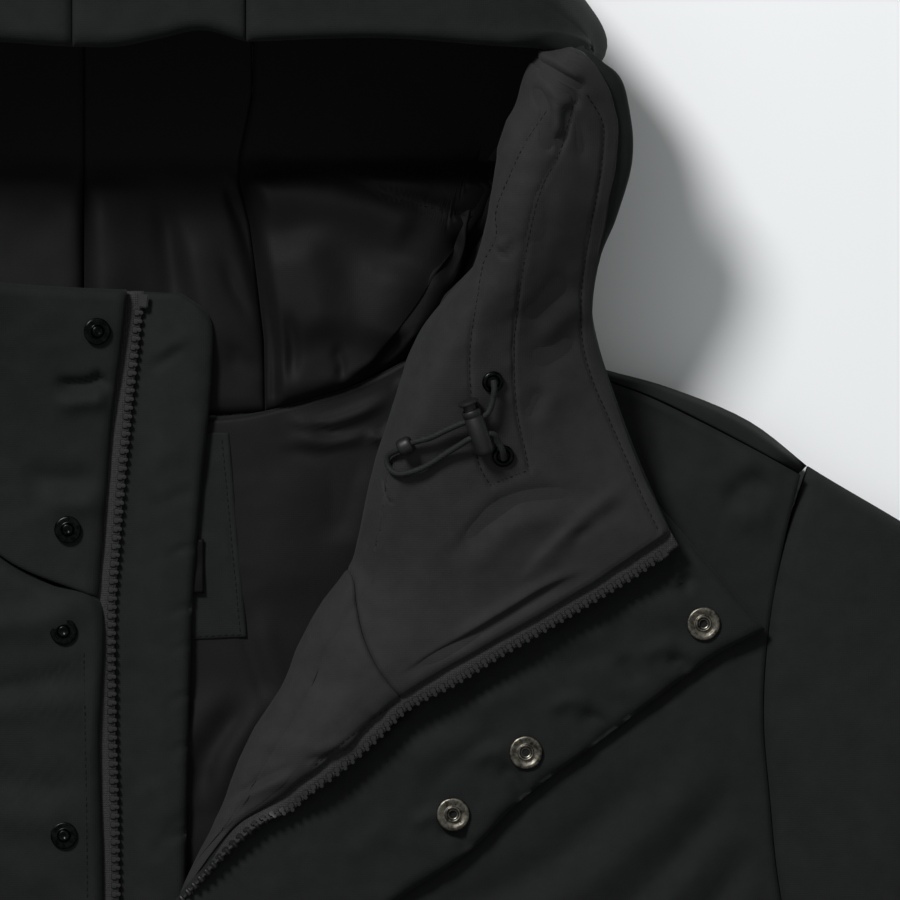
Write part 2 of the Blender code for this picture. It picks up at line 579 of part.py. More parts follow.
def build_front_left():
    """Left front: its lower layer, a turn along the roll line, and the turned-out layer."""
    half = SEAM_GAP / 2
    centres = [Vector((r[0], r[1], 0)) + ROLL_OUT * (FRONT_THICK / 2 + ROLL_RADIUS) for r in LAPEL]
    left = [v3(p) for p in FRONT_EDGE_LEFT] + centres + [v3(p) for p in FRONT_NECK_LEFT]
    right = inset_line(side_line(len(left)), 0.0, half)
    cols = len(FRONT_COLUMNS)
    hem = spread([left[0], right[0]], FRONT_COLUMNS)
    shoulder = spread(smooth_line([Vector((s[2], s[3] - 0.5, 0)) for s in SHOULDER], 40), FRONT_COLUMNS)
    shoulder[0], shoulder[-1] = left[-1].copy(), right[-1].copy()
    grid = coons(hem, shoulder, left, right)
    rows = len(grid)
    fold_first = len(FRONT_EDGE_LEFT) - 1
    for i, row in enumerate(grid):
        for j, p in enumerate(row):
            rise = 0.0
            if i <= fold_first + 1 and j <= 1:
                rise = FRONT_EDGE_MID - FRONT_MID
            p.z = FRONT_MID + rise
    sheet = Sheet()
    thick = lambda i, j: 4.4 if j == 0 and i <= fold_first else body_bulge(i, j, rows, cols)
    sheet.patch(grid, thick, lambda i, j: body_under(i, j, cols))

    turned = []
    arc_steps, flat_steps = 6, 5
    base = grid[fold_first][0]
    edge_step = Vector((-0.6, 0, 0))
    count = arc_steps + flat_steps
    turned.append([base + edge_step * (count - k) for k in range(count)] + [base.copy()])
    for k, (_, _, zip_x, zip_y, turn) in enumerate(LAPEL):
        start = grid[fold_first + 1 + k][0]
        radius = (TURN_MID - start.z) / 2
        centre = start + Vector((0, 0, radius))
        arc = []
        for n in range(1, arc_steps + 1):
            angle = math.pi * turn * n / arc_steps
            arc.append(centre - ROLL_OUT * (radius * math.sin(angle)) - Vector((0, 0, radius * math.cos(angle))))
        tip = arc[-1]
        if turn < 1.0:
            ahead = (arc[-1] - arc[-2]).normalized()
            flat = [tip + ahead * (0.6 * n) for n in range(1, flat_steps + 1)]
        else:
            lift = LAPEL_MID if k >= 3 else TURN_MID + (LAPEL_MID - TURN_MID) * (0.3 * k)
            goal = Vector((zip_x, zip_y, lift))
            flat = []
            for n in range(1, flat_steps + 1):
                share = n / flat_steps
                p = tip.lerp(goal, share)
                p.z = tip.z + (goal.z - tip.z) * min(1.0, share * 1.6)
                flat.append(p)
        turned.append(flat[::-1] + arc[::-1] + [start.copy()])
    quads = sheet.patch(turned, lambda i, j: EDGE_HALF if j == 0 else FRONT_THICK / 2 - 0.4,
                        lambda i, j: EDGE_HALF if j == 0 else FRONT_THICK / 2)
    sheet.seam(turned[-1], ALONG_ROLL)
    sheet.wall("front_left", shell_cloth())
    flat_quads = [q for n, q in enumerate(quads) if n // count >= 2 and n % count < flat_steps + 2]
    gap, far = SEAM_GAP, SEAM_GAP + FACING_THICK
    sheet.wall("front_facing_left", shell_cloth(), quads=flat_quads,
               far=lambda k: -(sheet.inner[k] + gap), near=lambda k: -(sheet.inner[k] + far))
    return turned


def build_front_right():
    """Right front, lying in place on the back."""
    half = SEAM_GAP / 2
    left = [Vector((-p[0], p[1], FRONT_MID)) for p in FRONT_EDGE_RIGHT + FRONT_NECK_RIGHT]
    right = [Vector((p.x, p.y, FRONT_MID)) for p in inset_line(side_line(len(left)), 0.0, half)]
    cols = 9
    hem = spread([left[0], right[0]], FRONT_COLUMNS)
    shoulder = spread(smooth_line([Vector((s[2], s[3] - 0.5, FRONT_MID)) for s in SHOULDER], 40), FRONT_COLUMNS)
    shoulder[0], shoulder[-1] = left[-1].copy(), right[-1].copy()
    grid = coons(hem, shoulder, left, right)
    rows = len(grid)
    grid = [mirror(row)[::-1] for row in grid]
    sheet = Sheet()
    sheet.patch(grid, lambda i, j: body_bulge(i, cols - 1 - j, rows, cols),
                lambda i, j: body_under(i, cols - 1 - j, cols))
    sheet.wall("front_right", shell_cloth())


def hood_section(points, neck):
    """Middle line of a hood wall from its front edge to the neck seam, in three stretches."""
    edge, top, turn, side, floor = (Vector(p) for p in points)
    neck = v3(neck, FLOOR_MID)
    line = smooth_line([edge, top, turn, side, floor, neck], 240)

    def nearest(goal):
        return min(range(len(line)), key=lambda k: (line[k] - goal).length)

    at_top, at_side = nearest(top), nearest(side)
    first = even_points(line[:at_top + 1], 5)
    second = even_points(line[at_top:at_side + 1], 7)
    third = even_points(line[at_side:], 5)
    return first + second[1:] + third[1:]


def hood_thickness(j):
    return 3.6 if j in (0, HOOD_COLS - 1) else HOOD_THICK / 2


def build_hood_left():
    """Left hood side with the turned-out collar, its lining and its facing."""
    necks = list(HOOD_LEFT_NECK) + list(HOOD_LEFT_NECK_RISE)
    necks = [v3(n, FLOOR_MID) + Vector((0, SEAM_GAP / 2, 0)) if len(n) == 2 else v3(n) for n in necks]
    rows = [hood_section(points, neck) for points, neck in zip(HOOD_LEFT, necks)]
    for p in rows[0]:
        p.x += SEAM_GAP / 2
    roll = Vector((LAPEL[-1][0], LAPEL[-1][1], 0)) + ROLL_OUT * (FRONT_THICK / 2 + ROLL_RADIUS)
    shift = ALONG_ROLL * 1.3
    radius = ROLL_RADIUS
    arc = []
    for n in range(0, 11):
        angle = math.pi * 0.94 * n / 10
        arc.append(roll + Vector((0, 0, TURN_MID - radius))
                   - ROLL_OUT * (radius * math.sin(angle)) + Vector((0, 0, radius * math.cos(angle))) + shift)
    goal = Vector((LAPEL[-1][2], LAPEL[-1][3], LAPEL_MID)) + shift
    lead = [goal.lerp(arc[0], k / 4) for k in range(5)]
    for k, p in enumerate(lead):
        p.z = arc[0].z + (goal.z - arc[0].z) * min(1.0, (1 - k / 4) * 1.6)
    rows.append(lead + arc[1:])
    grid = [row[::-1] for row in rows]
    last = len(grid) - 1
    sheet = Sheet()

    def thick(i, j):
        base = hood_thickness(HOOD_COLS - 1 - j)
        return base if i < last else base + 0.8

    quads = list(sheet.patch(grid, thick, thick))
    sheet.seam(grid[0], Vector((1, 0, 0)))
    sheet.seam(grid[-1], ALONG_ROLL)
    for row in grid[1:9] + grid[10:]:
        sheet.level(row[0])
    sheet.wall("hood_side_left", shell_cloth(), floor=0.0)
    width = HOOD_COLS - 1
    split = width - HOOD_TOP_COL - 2
    facing = [q for n, q in enumerate(quads) if n // width >= 4 and n % width >= split]
    lining = [q for n, q in enumerate(quads) if n // width < 7 and n % width < (width if n // width < 3 else split)]
    gap = SEAM_GAP
    sheet.wall("hood_facing_left", shell_cloth(), quads=facing, edge_in=SEAM_GAP,
               far=lambda k: -(sheet.inner[k] + gap), near=lambda k: -(sheet.inner[k] + gap + FACING_THICK))
    sheet.wall("hood_lining_left", lining_cloth(), quads=lining, edge_in=SEAM_GAP,
               far=lambda k: -(sheet.inner[k] + gap), near=lambda k: -(sheet.inner[k] + gap + LINING_THICK))


def build_hood_right():
    """Right hood side down to the chin, lying in place, and its lining."""
    rows = []
    for points, neck in zip(HOOD_RIGHT, HOOD_RIGHT_NECK):
        neck = Vector(neck)
        if neck.z == FLOOR_MID:
            neck.y += SEAM_GAP
        rows.append(hood_section(points, neck))
    for p in rows[0]:
        p.x -= SEAM_GAP / 2
    sheet = Sheet()
    thick = lambda i, j: hood_thickness(j) if i < 9 else 5.2
    quads = list(sheet.patch(rows, thick, thick))
    sheet.seam(rows[0], Vector((1, 0, 0)))
    for n, row in enumerate(rows):
        if n != 7:
            sheet.level(row[-1])
    sheet.wall("hood_side_right", shell_cloth(), floor=0.0)
    width = HOOD_COLS - 1
    lining = [q for n, q in enumerate(quads) if n // width < 6]
    gap = SEAM_GAP
    sheet.wall("hood_lining_right", lining_cloth(), quads=lining,
               far=lambda k: -(sheet.inner[k] + gap), near=lambda k: -(sheet.inner[k] + gap + LINING_THICK))


def build_hood_centre():
    """Centre panel of the hood, from the neck over the crown to its front edge."""
    neck = Vector((34.0, 225.0 + SEAM_GAP / 2, FLOOR_MID))
    section = hood_section(HOOD_LEFT[0], neck)
    xs = [-34 + SEAM_GAP / 2, -17, 0, 17, 34 - SEAM_GAP / 2]
    grid = []
    for x in xs:
        line = []
        for j, p in enumerate(section):
            q = p.copy()
            q.x = x
            if j == len(section) - 1:
                q.y -= 2.0 * (1 - abs(x) / 34.0)
            line.append(q)
        grid.append(line[::-1])
    sheet = Sheet()
    thick = lambda i, j: hood_thickness(HOOD_COLS - 1 - j)
    sheet.patch(grid, thick, thick)
    sheet.wall("hood_centre", shell_cloth(), floor=0.0)
    gap = SEAM_GAP
    sheet.wall("hood_lining_centre", lining_cloth(),
               far=lambda k: -(sheet.inner[k] + gap), near=lambda k: -(sheet.inner[k] + gap + LINING_THICK))


def build_wind_guard():
    """Padded guard behind the right half of the zip."""
    rows = 14
    left = smooth_line([v3(p) + Vector((SEAM_GAP, 0, 0)) for p in ZIP_EDGE_RIGHT], rows)
    right = smooth_line([v3(p) for p in WIND_GUARD_EDGE], rows)
    cols = 4
    grid = [[a.lerp(b, j / (cols - 1)) for j in range(cols)] for a, b in zip(left, right)]
    low, high = WIND_GUARD_TOP - 3.0, WIND_GUARD_TOP
    top = [[p + Vector((0, 0, high - (0.8 if j == cols - 1 else 0.0))) for j, p in enumerate(row)] for row in grid]
    bottom = [[p + Vector((0, 0, low)) for p in row] for row in grid]
    slab("wind_guard", top, bottom, shell_cloth())


def build_zip_right():
    """Right half of the zip: tape with its chain, and its top stop."""
    inner = smooth_line([v3(p) + Vector((SEAM_GAP, 0, 0)) for p in ZIP_EDGE_RIGHT], 18)
    inner[0].y = HEM_Y + ZIP_BOX[1] + SLIDER[1] + 2 * SEAM_GAP
    inner[-1] = inner[-1].lerp(inner[-2], 0.01)
    low = WIND_GUARD_TOP + SEAM_GAP
    top, bottom = [], []
    for p in inner:
        row = [p + Vector((ZIP_WIDTH * 0.85 * k / 2, 0, 0)) for k in range(3)]
        top.append([q + Vector((0, 0, low + ZIP_THICK)) for q in row])
        bottom.append([q + Vector((0, 0, low)) for q in row])
    slab("zip_right", top, bottom, zip_tape_cloth())


def build_zip_left(turned):
    """Left half of the zip: along the front edge, round the fold and up the turned-out layer."""
    rows = []
    for p in FRONT_EDGE_LEFT[:-1]:
        rows.append((Vector((p[0] - SEAM_GAP, p[1], FRONT_EDGE_MID)), Vector((-1, 0, 0))))
    for row in turned[:-1]:
        ahead = (row[0] - row[1]).normalized()
        rows.append((row[0] + ahead * ZIP_LEAD, ahead))
    out = Vector((0.5, -0.87, 0.0))
    for x, y in ZIP_EDGE_LEFT:
        rows.append((Vector((x, y, LAPEL_MID)) + out * SEAM_GAP, out))
    sheet = Sheet()
    grid = [[p + ahead * (ZIP_WIDTH * k / 2) for k in range(2, -1, -1)] for p, ahead in rows]
    thick = lambda i, j: ZIP_THICK / 2
    sheet.patch(grid, thick, thick)
    sheet.wall("zip_left", zip_tape_cloth())


def build_storm_flap():
    """Storm flap: open with the lapel above, folded back on itself, in place below."""
    cols = 10
    grid = []
    for sewn, fold, free in STORM_FLAP:
        sewn, free = Vector(sewn), Vector(free)
        if fold is None:
            line = even_points([sewn, free], cols)
        else:
            turn = Vector((fold[0], fold[1], (sewn.z + free.z) / 2 + 0.5))
            low = Vector((fold[0] + 3.5, fold[1], sewn.z + 0.5))
            high = Vector((fold[0] + 3.5, fold[1], free.z + 0.5))
            first = even_points([sewn, low], 4)
            last = even_points([high, free], 5)
            line = first + [turn] + last
        grid.append(line)
    sheet = Sheet()
    thick = lambda i, j: FLAP_THICK / 2 - (0.8 if j == cols - 1 else 0.0)
    sheet.patch(grid, thick, thick)
    sheet.wall("storm_flap", shell_cloth())


def build_sleeve(side):
    """Upper and under sleeve panels of one side."""
    name = "left" if side > 0 else "right"
    rows, cols = 10, 9
    gap = Vector((SEAM_GAP / 2, 0, 0))
    hole = [p + gap for p in armhole_line()]
    hole[-1] = Vector((255.0 + 0.15, 200.4, 0))
    outer = smooth_line([v3(p) for p in SLEEVE_OUTER], rows)
    inner = smooth_line([v3(p) for p in SLEEVE_INNER], rows)
    outer[0] = hole[-1].copy()
    inner[0] = hole[0].copy()
    cuff = [inner[-1].lerp(outer[-1], j / (cols - 1)) for j in range(cols)]
    grid = coons(hole, cuff, inner, outer)
    grid = [[Vector((side * p.x, p.y, 0)) for p in row] for row in grid]

    def lift(i, j, edge, crown):
        u = 2 * j / (cols - 1) - 1
        swell = math.sqrt(max(0.0, 1 - u * u))
        ease = 1.0 if 0 < i < rows - 1 else 0.55
        return edge + (crown - edge) * swell * ease

    flat = [[p.copy() for p in row] for row in grid]
    middle = BACK_TOP
    under = [[p + Vector((0, 0, 8.0 if j in (0, cols - 1) else middle)) for j, p in enumerate(row)] for row in grid]
    slab(f"sleeve_under_{name}", under, flat, shell_cloth())
    base = [[p + Vector((0, 0, middle + SEAM_GAP)) for p in row] for row in grid]
    top = [[p + Vector((0, 0, middle + lift(i, j, 5.0, 30.0))) for j, p in enumerate(row)]
           for i, row in enumerate(grid)]
    slab(f"sleeve_upper_{name}", top, base, shell_cloth())


def build_neck_patch():
    """Cloth patch at the back neck and the plain label on it."""
    patch_low, patch_high = LINING_TOP + SEAM_GAP, LINING_TOP + SEAM_GAP + 1.0
    outline = ((-32, 131.5), (-24.8, 217.0), (24.8, 217.0), (32, 134.4))
    a, b, c, d = (Vector((x, y, 0)) for x, y in outline)
    top = [[p + Vector((0, 0, patch_high)) for p in row] for row in ((a, d), (b, c))]
    bottom = [[p + Vector((0, 0, patch_low)) for p in row] for row in ((a, d), (b, c))]
    slab("neck_patch", top, bottom, shell_cloth())


def build_neck_label():
    """Plain cloth label on the neck patch."""
    low = LINING_TOP + 2 * SEAM_GAP + 1.0
    rows = ((Vector((-14.8, 152.4, low)), Vector((14.8, 152.4, low))),
            (Vector((-14.8, 174.0, low)), Vector((14.8, 174.0, low))))
    lift = Vector((0, 0, 0.5))
    slab("neck_label", [[p + lift for p in row] for row in rows], rows, label_cloth())


def round_piece(name, profile, centre, axis, material, steps):
    """A turned solid from an outline of radius and height, closed through the axis or through its bore."""
    axis = axis.normalized()
    side = axis.orthogonal().normalized()
    other = axis.cross(side)
    points, rings, faces = [], [], []
    for radius, height in profile:
        base = len(points)
        if radius == 0.0:
            points.append(centre + axis * height)
            rings.append([base] * steps)
            continue
        for k in range(steps):
            angle = 2 * math.pi * k / steps
            points.append(centre + (side * math.cos(angle) + other * math.sin(angle)) * radius + axis * height)
        rings.append([base + k for k in range(steps)])
    pairs = list(zip(rings, rings[1:]))
    if profile[0][0] > 0.0:
        pairs.append((rings[-1], rings[0]))
    for low, high in pairs:
        for k in range(steps):
            n = (k + 1) % steps
            corners = []
            for corner in (low[k], low[n], high[n], high[k]):
                if corner not in corners:
                    corners.append(corner)
            if len(corners) > 2:
                faces.append(tuple(corners))
    return add_mesh(name, points, faces, material)


def cloth_surface(*names):
    """The faces of some cloth pieces, to set small fittings on."""
    points, faces = [], []
    for name in names:
        mesh = bpy.data.objects[name].data
        base = len(points)
        points += [v.co / MM for v in mesh.vertices]
        faces += [[base + k for k in face.vertices] for face in mesh.polygons]
    return BVHTree.FromPolygons(points, faces)


def seat(surface, x, y, radius, look="up"):
    """Where a flat round fitting rests on the cloth: its centre, and the way it looks."""
    way = Vector((0, 0, 1 if look == "up" else -1))
    start = Vector((x, y, 0)) + Vector((0, 0, 150 if look == "up" else 0.1))
    place, normal, _, _ = surface.ray_cast(start, -way)
    if normal.dot(way) < 0:
        normal = -normal
    side = normal.orthogonal().normalized()
    other = normal.cross(side)
    rise = 0.0
    for share in (0.5, 1.0):
        for k in range(12):
            angle = 2 * math.pi * k / 12
            rim = place + (side * math.cos(angle) + other * math.sin(angle)) * (radius * share)
            near = surface.ray_cast(rim + normal * 12, -normal, 20)[0]
            if near:
                rise = max(rise, (near - rim).dot(normal))
    return place + normal * (rise + SEAM_GAP), normal


def build_snaps():
    """Twelve sockets on the storm flap and the studs that they close on."""
    flap = cloth_surface("storm_flap")
    for n, (x, y, look) in enumerate(SOCKETS, 1):
        place, normal = seat(flap, x, y, SOCKET_RADIUS, look)
        round_piece(f"snap_socket_{n}", SOCKET_PROFILE, place, normal, aged_steel(), SOCKET_STEPS)
    right = cloth_surface("front_right", "hood_side_right")
    for n, (x, y) in enumerate(STUDS, 1):
        place, normal = seat(right, x, y, STUD_RADIUS)
        round_piece(f"snap_stud_{n}", STUD_PROFILE, place, normal, black_metal(), STUD_STEPS)


def over_cloth(surface, x, y, rise):
    """A point at a height over the cloth, square to it."""
    place, normal, _, _ = surface.ray_cast(Vector((x, y, 150)), Vector((0, 0, -1)))
    return place + (normal if normal.z > 0 else -normal) * rise


def build_cord(name, route, surface):
    """One stretch of the drawcord: a round curve through its own points."""
    points = [over_cloth(surface, x, y, rise + CORD_RADIUS) for x, y, rise in route]
    length = sum((b - a).length for a, b in zip(points, points[1:]))
    line = smooth_line(points, round(length / CORD_PITCH) + 1)
    curve = bpy.data.curves.new(name, "CURVE")
    curve.dimensions = "3D"
    curve.bevel_depth = CORD_RADIUS * MM
    curve.bevel_resolution = 2
    curve.use_fill_caps = True
    spline = curve.splines.new("POLY")
    spline.points.add(len(line) - 1)
    for point, p in zip(spline.points, line):
        point.co = (*(p * MM), 1.0)
    curve.materials.append(cord_braid())
    bpy.context.scene.collection.objects.link(bpy.data.objects.new(name, curve))


def lock_axis(surface):
    """The two ends of the cord lock's middle line, where it lies on the facing."""
    start, end = v3(LOCK_TOP), v3(LOCK_FOOT)
    across = (end - start).cross(Vector((0, 0, 1))).normalized()
    needs = []
    for station in range(9):
        line = start.lerp(end, station / 8)
        need = 0.0
        for step in range(-4, 5):
            off = RIM_RADIUS * step / 4
            ray = line + across * off + Vector((0, 0, 150))
            cloth = surface.ray_cast(ray, Vector((0, 0, -1)))[0].z
            need = max(need, cloth + math.sqrt(max(0.0, RIM_RADIUS ** 2 - off ** 2)))
        needs.append(need)
    low, high = needs[0], needs[-1]
    lift = max(need - (low + (high - low) * k / 8) for k, need in enumerate(needs))
    start.z, end.z = low + lift + SEAM_GAP, high + lift + SEAM_GAP
    return start, end


def build_drawcord():
    """Two eyelets in the facing, the cord between them with its bead, and the cord lock."""
    facing = cloth_surface("hood_facing_left", "hood_side_left")
    for n, (x, y) in enumerate(EYELETS, 1):
        place, normal = seat(facing, x, y, EYELET_RADIUS)
        round_piece(f"eyelet_{n}", EYELET_PROFILE, place, normal, black_metal(), EYELET_STEPS)
    for name, route in (("cord_upper", CORD_UPPER), ("cord_loop", CORD_LOOP), ("cord_lower", CORD_LOWER)):
        build_cord(name, route, facing)
    rise = BEAD_RISE + CORD_RADIUS
    start, end = (over_cloth(facing, x, y, rise) for x, y in BEAD_SPAN)
    round_piece("cord_bead", BEAD_PROFILE, start, end - start, black_plastic(), BEAD_STEPS)
    top, foot = lock_axis(facing)
    length = (foot - top).length
    barrel = ((BORE_RADIUS, BARREL_START), (LOCK_RADIUS, BARREL_START), (LOCK_RADIUS, length - 1.0),
              (LOCK_RADIUS - 1.0, length), (0.0, length), (0.0, BARREL_START + BORE_DEPTH),
              (BORE_RADIUS, BARREL_START + BORE_DEPTH))
    button = ((0.0, 0.0), (RIM_RADIUS - 0.6, 0.0), (RIM_RADIUS, 0.5), (RIM_RADIUS, RIM_THICK),
              (BUTTON_RADIUS, RIM_THICK), (BUTTON_RADIUS, BUTTON_LENGTH), (0.0, BUTTON_LENGTH))
    round_piece("cord_lock_barrel", barrel, top, foot - top, black_plastic(), LOCK_STEPS)
    round_piece("cord_lock_button", button, top, foot - top, black_plastic(), LOCK_STEPS)


def block(name, size, centre, along, up, material):
    """A small moulded block with rounded edges: its length lies along one direction."""
    up = up.normalized()
    along = (along - up * along.dot(up)).normalized()
    across = along.cross(up)
    work = bmesh.new()
    bmesh.ops.create_cube(work, size=1.0)
    for vert in work.verts:
        vert.co = Vector((vert.co.x * size[0], vert.co.y * size[1], vert.co.z * size[2]))
    bmesh.ops.bevel(work, geom=work.edges[:], offset=min(size) * 0.3, segments=2, affect="EDGES")
    work.verts.index_update()
    points = [centre + across * v.co.x + along * v.co.y + up * v.co.z for v in work.verts]
    faces = [tuple(v.index for v in face.verts) for face in work.faces]
    work.free()
    add_mesh(name, points, faces, material)


def build_zip_fittings():
    """Box, slider and pull tab at the hem of the right half, and a stop at the top of each half."""
    low = WIND_GUARD_TOP + SEAM_GAP
    hemward, up = Vector((0, 1, 0)), Vector((0, 0, 1))
    box_y = HEM_Y + ZIP_BOX[1] / 2
    slider_y = HEM_Y + ZIP_BOX[1] + SEAM_GAP + SLIDER[1] / 2
    tab_y = slider_y + PULL_TAB[1] / 2 - PULL_OVERLAP
    block("zip_box", ZIP_BOX, Vector((SLIDER_X, box_y, low + ZIP_BOX[2] / 2)), hemward, up, black_metal())
    block("zip_slider", SLIDER, Vector((SLIDER_X, slider_y, low + SLIDER[2] / 2)), hemward, up, black_metal())
    tab_z = low + SLIDER[2] + SEAM_GAP + PULL_TAB[2] / 2
    block("zip_pull", PULL_TAB, Vector((SLIDER_X, tab_y, tab_z)), hemward, up, black_metal())
    for name, tape, ((x, y), along) in (("zip_stop_left", "zip_left", STOP_LEFT),
                                        ("zip_stop_right", "zip_right", STOP_RIGHT)):
        place, normal = seat(cloth_surface(tape), x, y, 1.5)
        size = (STOP[1], STOP[0], STOP[2])
        block(name, size, place + normal * (STOP[2] / 2), along, normal, black_plastic())


def main():
    for item in list(bpy.data.objects):
        bpy.data.objects.remove(item, do_unlink=True)
    build_back_panel()
    build_back_lining()
    turned_rows = build_front_left()
    build_front_right()
    build_hood_left()
    build_hood_right()
    build_hood_centre()
    build_wind_guard()
    build_zip_right()
    build_zip_left(turned_rows)
    build_storm_flap()
    for side in (1, -1):
        build_sleeve(side)
    build_neck_patch()
    build_neck_label()
    build_snaps()
    build_drawcord()
    build_zip_fittings()


main()
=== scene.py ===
"""Looks of a hooded padded jacket that lies flat with its left front turned open like a lapel.

Lengths are in millimetres until a mesh is made. +Y points to the hood, +X to the wearer's left, +Z up.
"Plan" points are places as the camera sees them from above, true to size at the height of the lapel.
"""
import logging
import math
from dataclasses import dataclass, field
from enum import Enum
from typing import Callable, Sequence

import bmesh
import bpy
import numpy as np
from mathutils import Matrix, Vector
from mathutils.bvhtree import BVHTree


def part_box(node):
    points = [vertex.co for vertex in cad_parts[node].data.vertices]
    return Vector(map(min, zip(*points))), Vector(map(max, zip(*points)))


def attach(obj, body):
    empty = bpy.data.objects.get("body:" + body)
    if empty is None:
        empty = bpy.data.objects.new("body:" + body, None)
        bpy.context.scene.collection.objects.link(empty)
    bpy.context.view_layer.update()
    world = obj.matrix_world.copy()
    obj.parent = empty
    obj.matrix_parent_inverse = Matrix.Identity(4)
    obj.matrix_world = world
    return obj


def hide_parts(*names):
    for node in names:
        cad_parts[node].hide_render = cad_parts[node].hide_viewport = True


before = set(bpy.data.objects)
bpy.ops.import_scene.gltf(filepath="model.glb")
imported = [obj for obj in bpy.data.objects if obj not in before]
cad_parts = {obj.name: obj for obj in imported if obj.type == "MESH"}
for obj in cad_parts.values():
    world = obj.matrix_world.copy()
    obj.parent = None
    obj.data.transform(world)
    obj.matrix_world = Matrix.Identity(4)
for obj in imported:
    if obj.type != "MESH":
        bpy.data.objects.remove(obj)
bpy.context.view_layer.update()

LOG = logging.getLogger("jacket")
MM = 0.001
SEAM_GAP = 0.3
JACKET, BUTTON = "jacket", "lock_button"

# Camera over the open collar, in millimetres
VIEW_X, VIEW_Y = 114.0, 210.0
VIEW_HEIGHT = 3040.0
PLAN_HEIGHT = 40.0
VIEW_WIDTH = 360.0
SENSOR = 36.0

# Heights of the layers over the floor
BACK_TOP = 12.0
LINING_TOP = 13.4
FRONT_MID = 21.0
FRONT_THICK = 12.0
TURN_MID = 34.5
LAPEL_MID = 41.5
FLAP_MID = 31.6
FLAP_THICK = 6.0
HOOD_THICK = 9.0
FLOOR_MID = 4.5
EDGE_HALF = 2.6
LINING_THICK = 1.2
FACING_THICK = 1.5
HEM_Y = -462.0
HEM_HALF = 300.0
ZIP_RIGHT_Y = 274.0
ZIP_WIDTH = 10.0
ZIP_THICK = 2.2
ZIP_LEAD = 2.4
WIND_GUARD_TOP = 19.5
FRONT_EDGE_MID = 26.2
ROLL_OUT = np.array((0.87, -0.49, 0.0))
ALONG_ROLL = np.array((0.49, 0.87, 0.0))
ROLL_RADIUS = (TURN_MID - FRONT_MID) / 2

# Back neckline from the centre to the shoulder: x, y
NECKLINE = ((0.0, 223.0), (34.0, 225.0), (46.0, 227.6), (60.0, 231.4), (72.0, 235.0), (82.0, 239.2),
            (90.0, 243.2), (98.0, 247.8), (106.0, 252.6), (112.0, 256.6))

# Shoulder from the neck to the sleeve: contour x, y and the seam in front of it x, y
SHOULDER = ((116.0, 259.5, 116.0, 258.3), (130.0, 257.0, 130.0, 254.2), (152.0, 251.0, 150.0, 247.0),
            (176.8, 242.4, 176.0, 238.4), (200.0, 236.0, 196.0, 231.0), (234.0, 222.0, 226.0, 216.0),
            (262.0, 204.0, 255.0, 201.0))
ARMHOLE = ((255.0, 200.0), (250.0, 180.0), (243.0, 145.0), (240.0, 105.0), (242.5, 70.0), (247.0, 30.0),
           (257.0, -8.0), (272.0, -34.0), (290.0, -50.0))
SIDE_SEAM = ((290.0, -50.0), (293.0, -130.0), (296.0, -240.0), (298.0, -350.0), (300.0, HEM_Y))
SLEEVE_OUTER = ((262.0, 203.0), (305.0, 177.0), (348.0, 137.0), (388.0, 88.0), (432.0, 28.0), (481.0, -57.0),
                (532.0, -147.0), (580.0, -231.0), (628.0, -314.0))
SLEEVE_INNER = ((290.0, -50.0), (337.0, -106.0), (385.0, -168.0), (433.0, -233.0), (481.0, -303.0),
                (528.0, -372.0))

# Turned-out left side of the hood, crown to neck seam: middle line of each section through its wall
HOOD_LEFT = (
    # edge                  crown or roll top      outermost or roll       side                    floor
    ((34, 370, 101), (34, 425, 99), (34, 458.4, 55), (34, 440, 15), (34, 405, 4.5)),
    ((88, 371.5, 100), (100, 417, 97), (110, 439, 53), (101, 423, 15), (92, 396, 4.5)),
    ((135, 368.6, 97), (143, 395, 88), (153, 400, 52), (142, 388, 15), (132, 368, 4.5)),
    ((158.5, 368.5, 92), (166, 371, 79), (172, 370, 50), (158, 360, 15), (142, 350, 4.5)),
    ((179.7, 358, 84), (159, 360, 93), (151, 361, 85), (161, 356, 40), (142, 338, 4.5)),
    ((184.8, 343, 78), (153, 344, 92), (145, 345, 84), (156, 341, 36), (138, 325, 4.5)),
    ((186, 325, 74), (147, 326, 89), (139, 327, 81), (152, 324, 36), (134, 308, 4.5)),
    ((180.4, 305, 69), (143, 306, 86), (135, 307, 78), (147, 305, 36), (129, 292, 4.5)),
    ((173.4, 288, 64), (140, 289, 80), (131.5, 290, 72), (141, 290, 36), (126, 280, 4.8)),
    ((170.5, 272, 58), (134, 276, 75), (127, 277, 67), (131, 281, 42), (121, 275, 21)),
    ((172, 256, 51), (122, 260, 67), (115, 261, 58), (109.5, 258, 40), (107, 252, 24)),
    ((181, 228, 44), (107, 227, 58), (100, 229, 50), (97.5, 229, 36), (98.5, 228, 23.5)),
    ((192, 200, 42), (98, 202, 52), (91.5, 204, 45), (89.5, 204, 33), (92, 203, 23)),
    ((202.4, 177, 42), (94.5, 189, 48), (88, 191, 41), (86.5, 191, 31), (89, 190, 22.6)),
    ((170, 155.5, 41.5), (93, 180, 45), (86, 183, 38), (85.5, 183, 30), (88, 182, 22.4)),
    ((130, 132, 41.5), (90, 169, 40), (84, 173, 33.5), (83.7, 174, 28), (86, 173, 22)),
)
HOOD_LEFT_NECK = tuple((x, y, FLOOR_MID) for x, y in NECKLINE[1:]) + (
    (111.5, 265.5, 14.0), (111.6, 247.0, 21.0), (104.8, 226.0, 21.0), (98.8, 202.0, 21.0),
    (95.3, 188.0, 21.0), (93.6, 179.0, 21.0), (91.2, 170.0, 21.0))

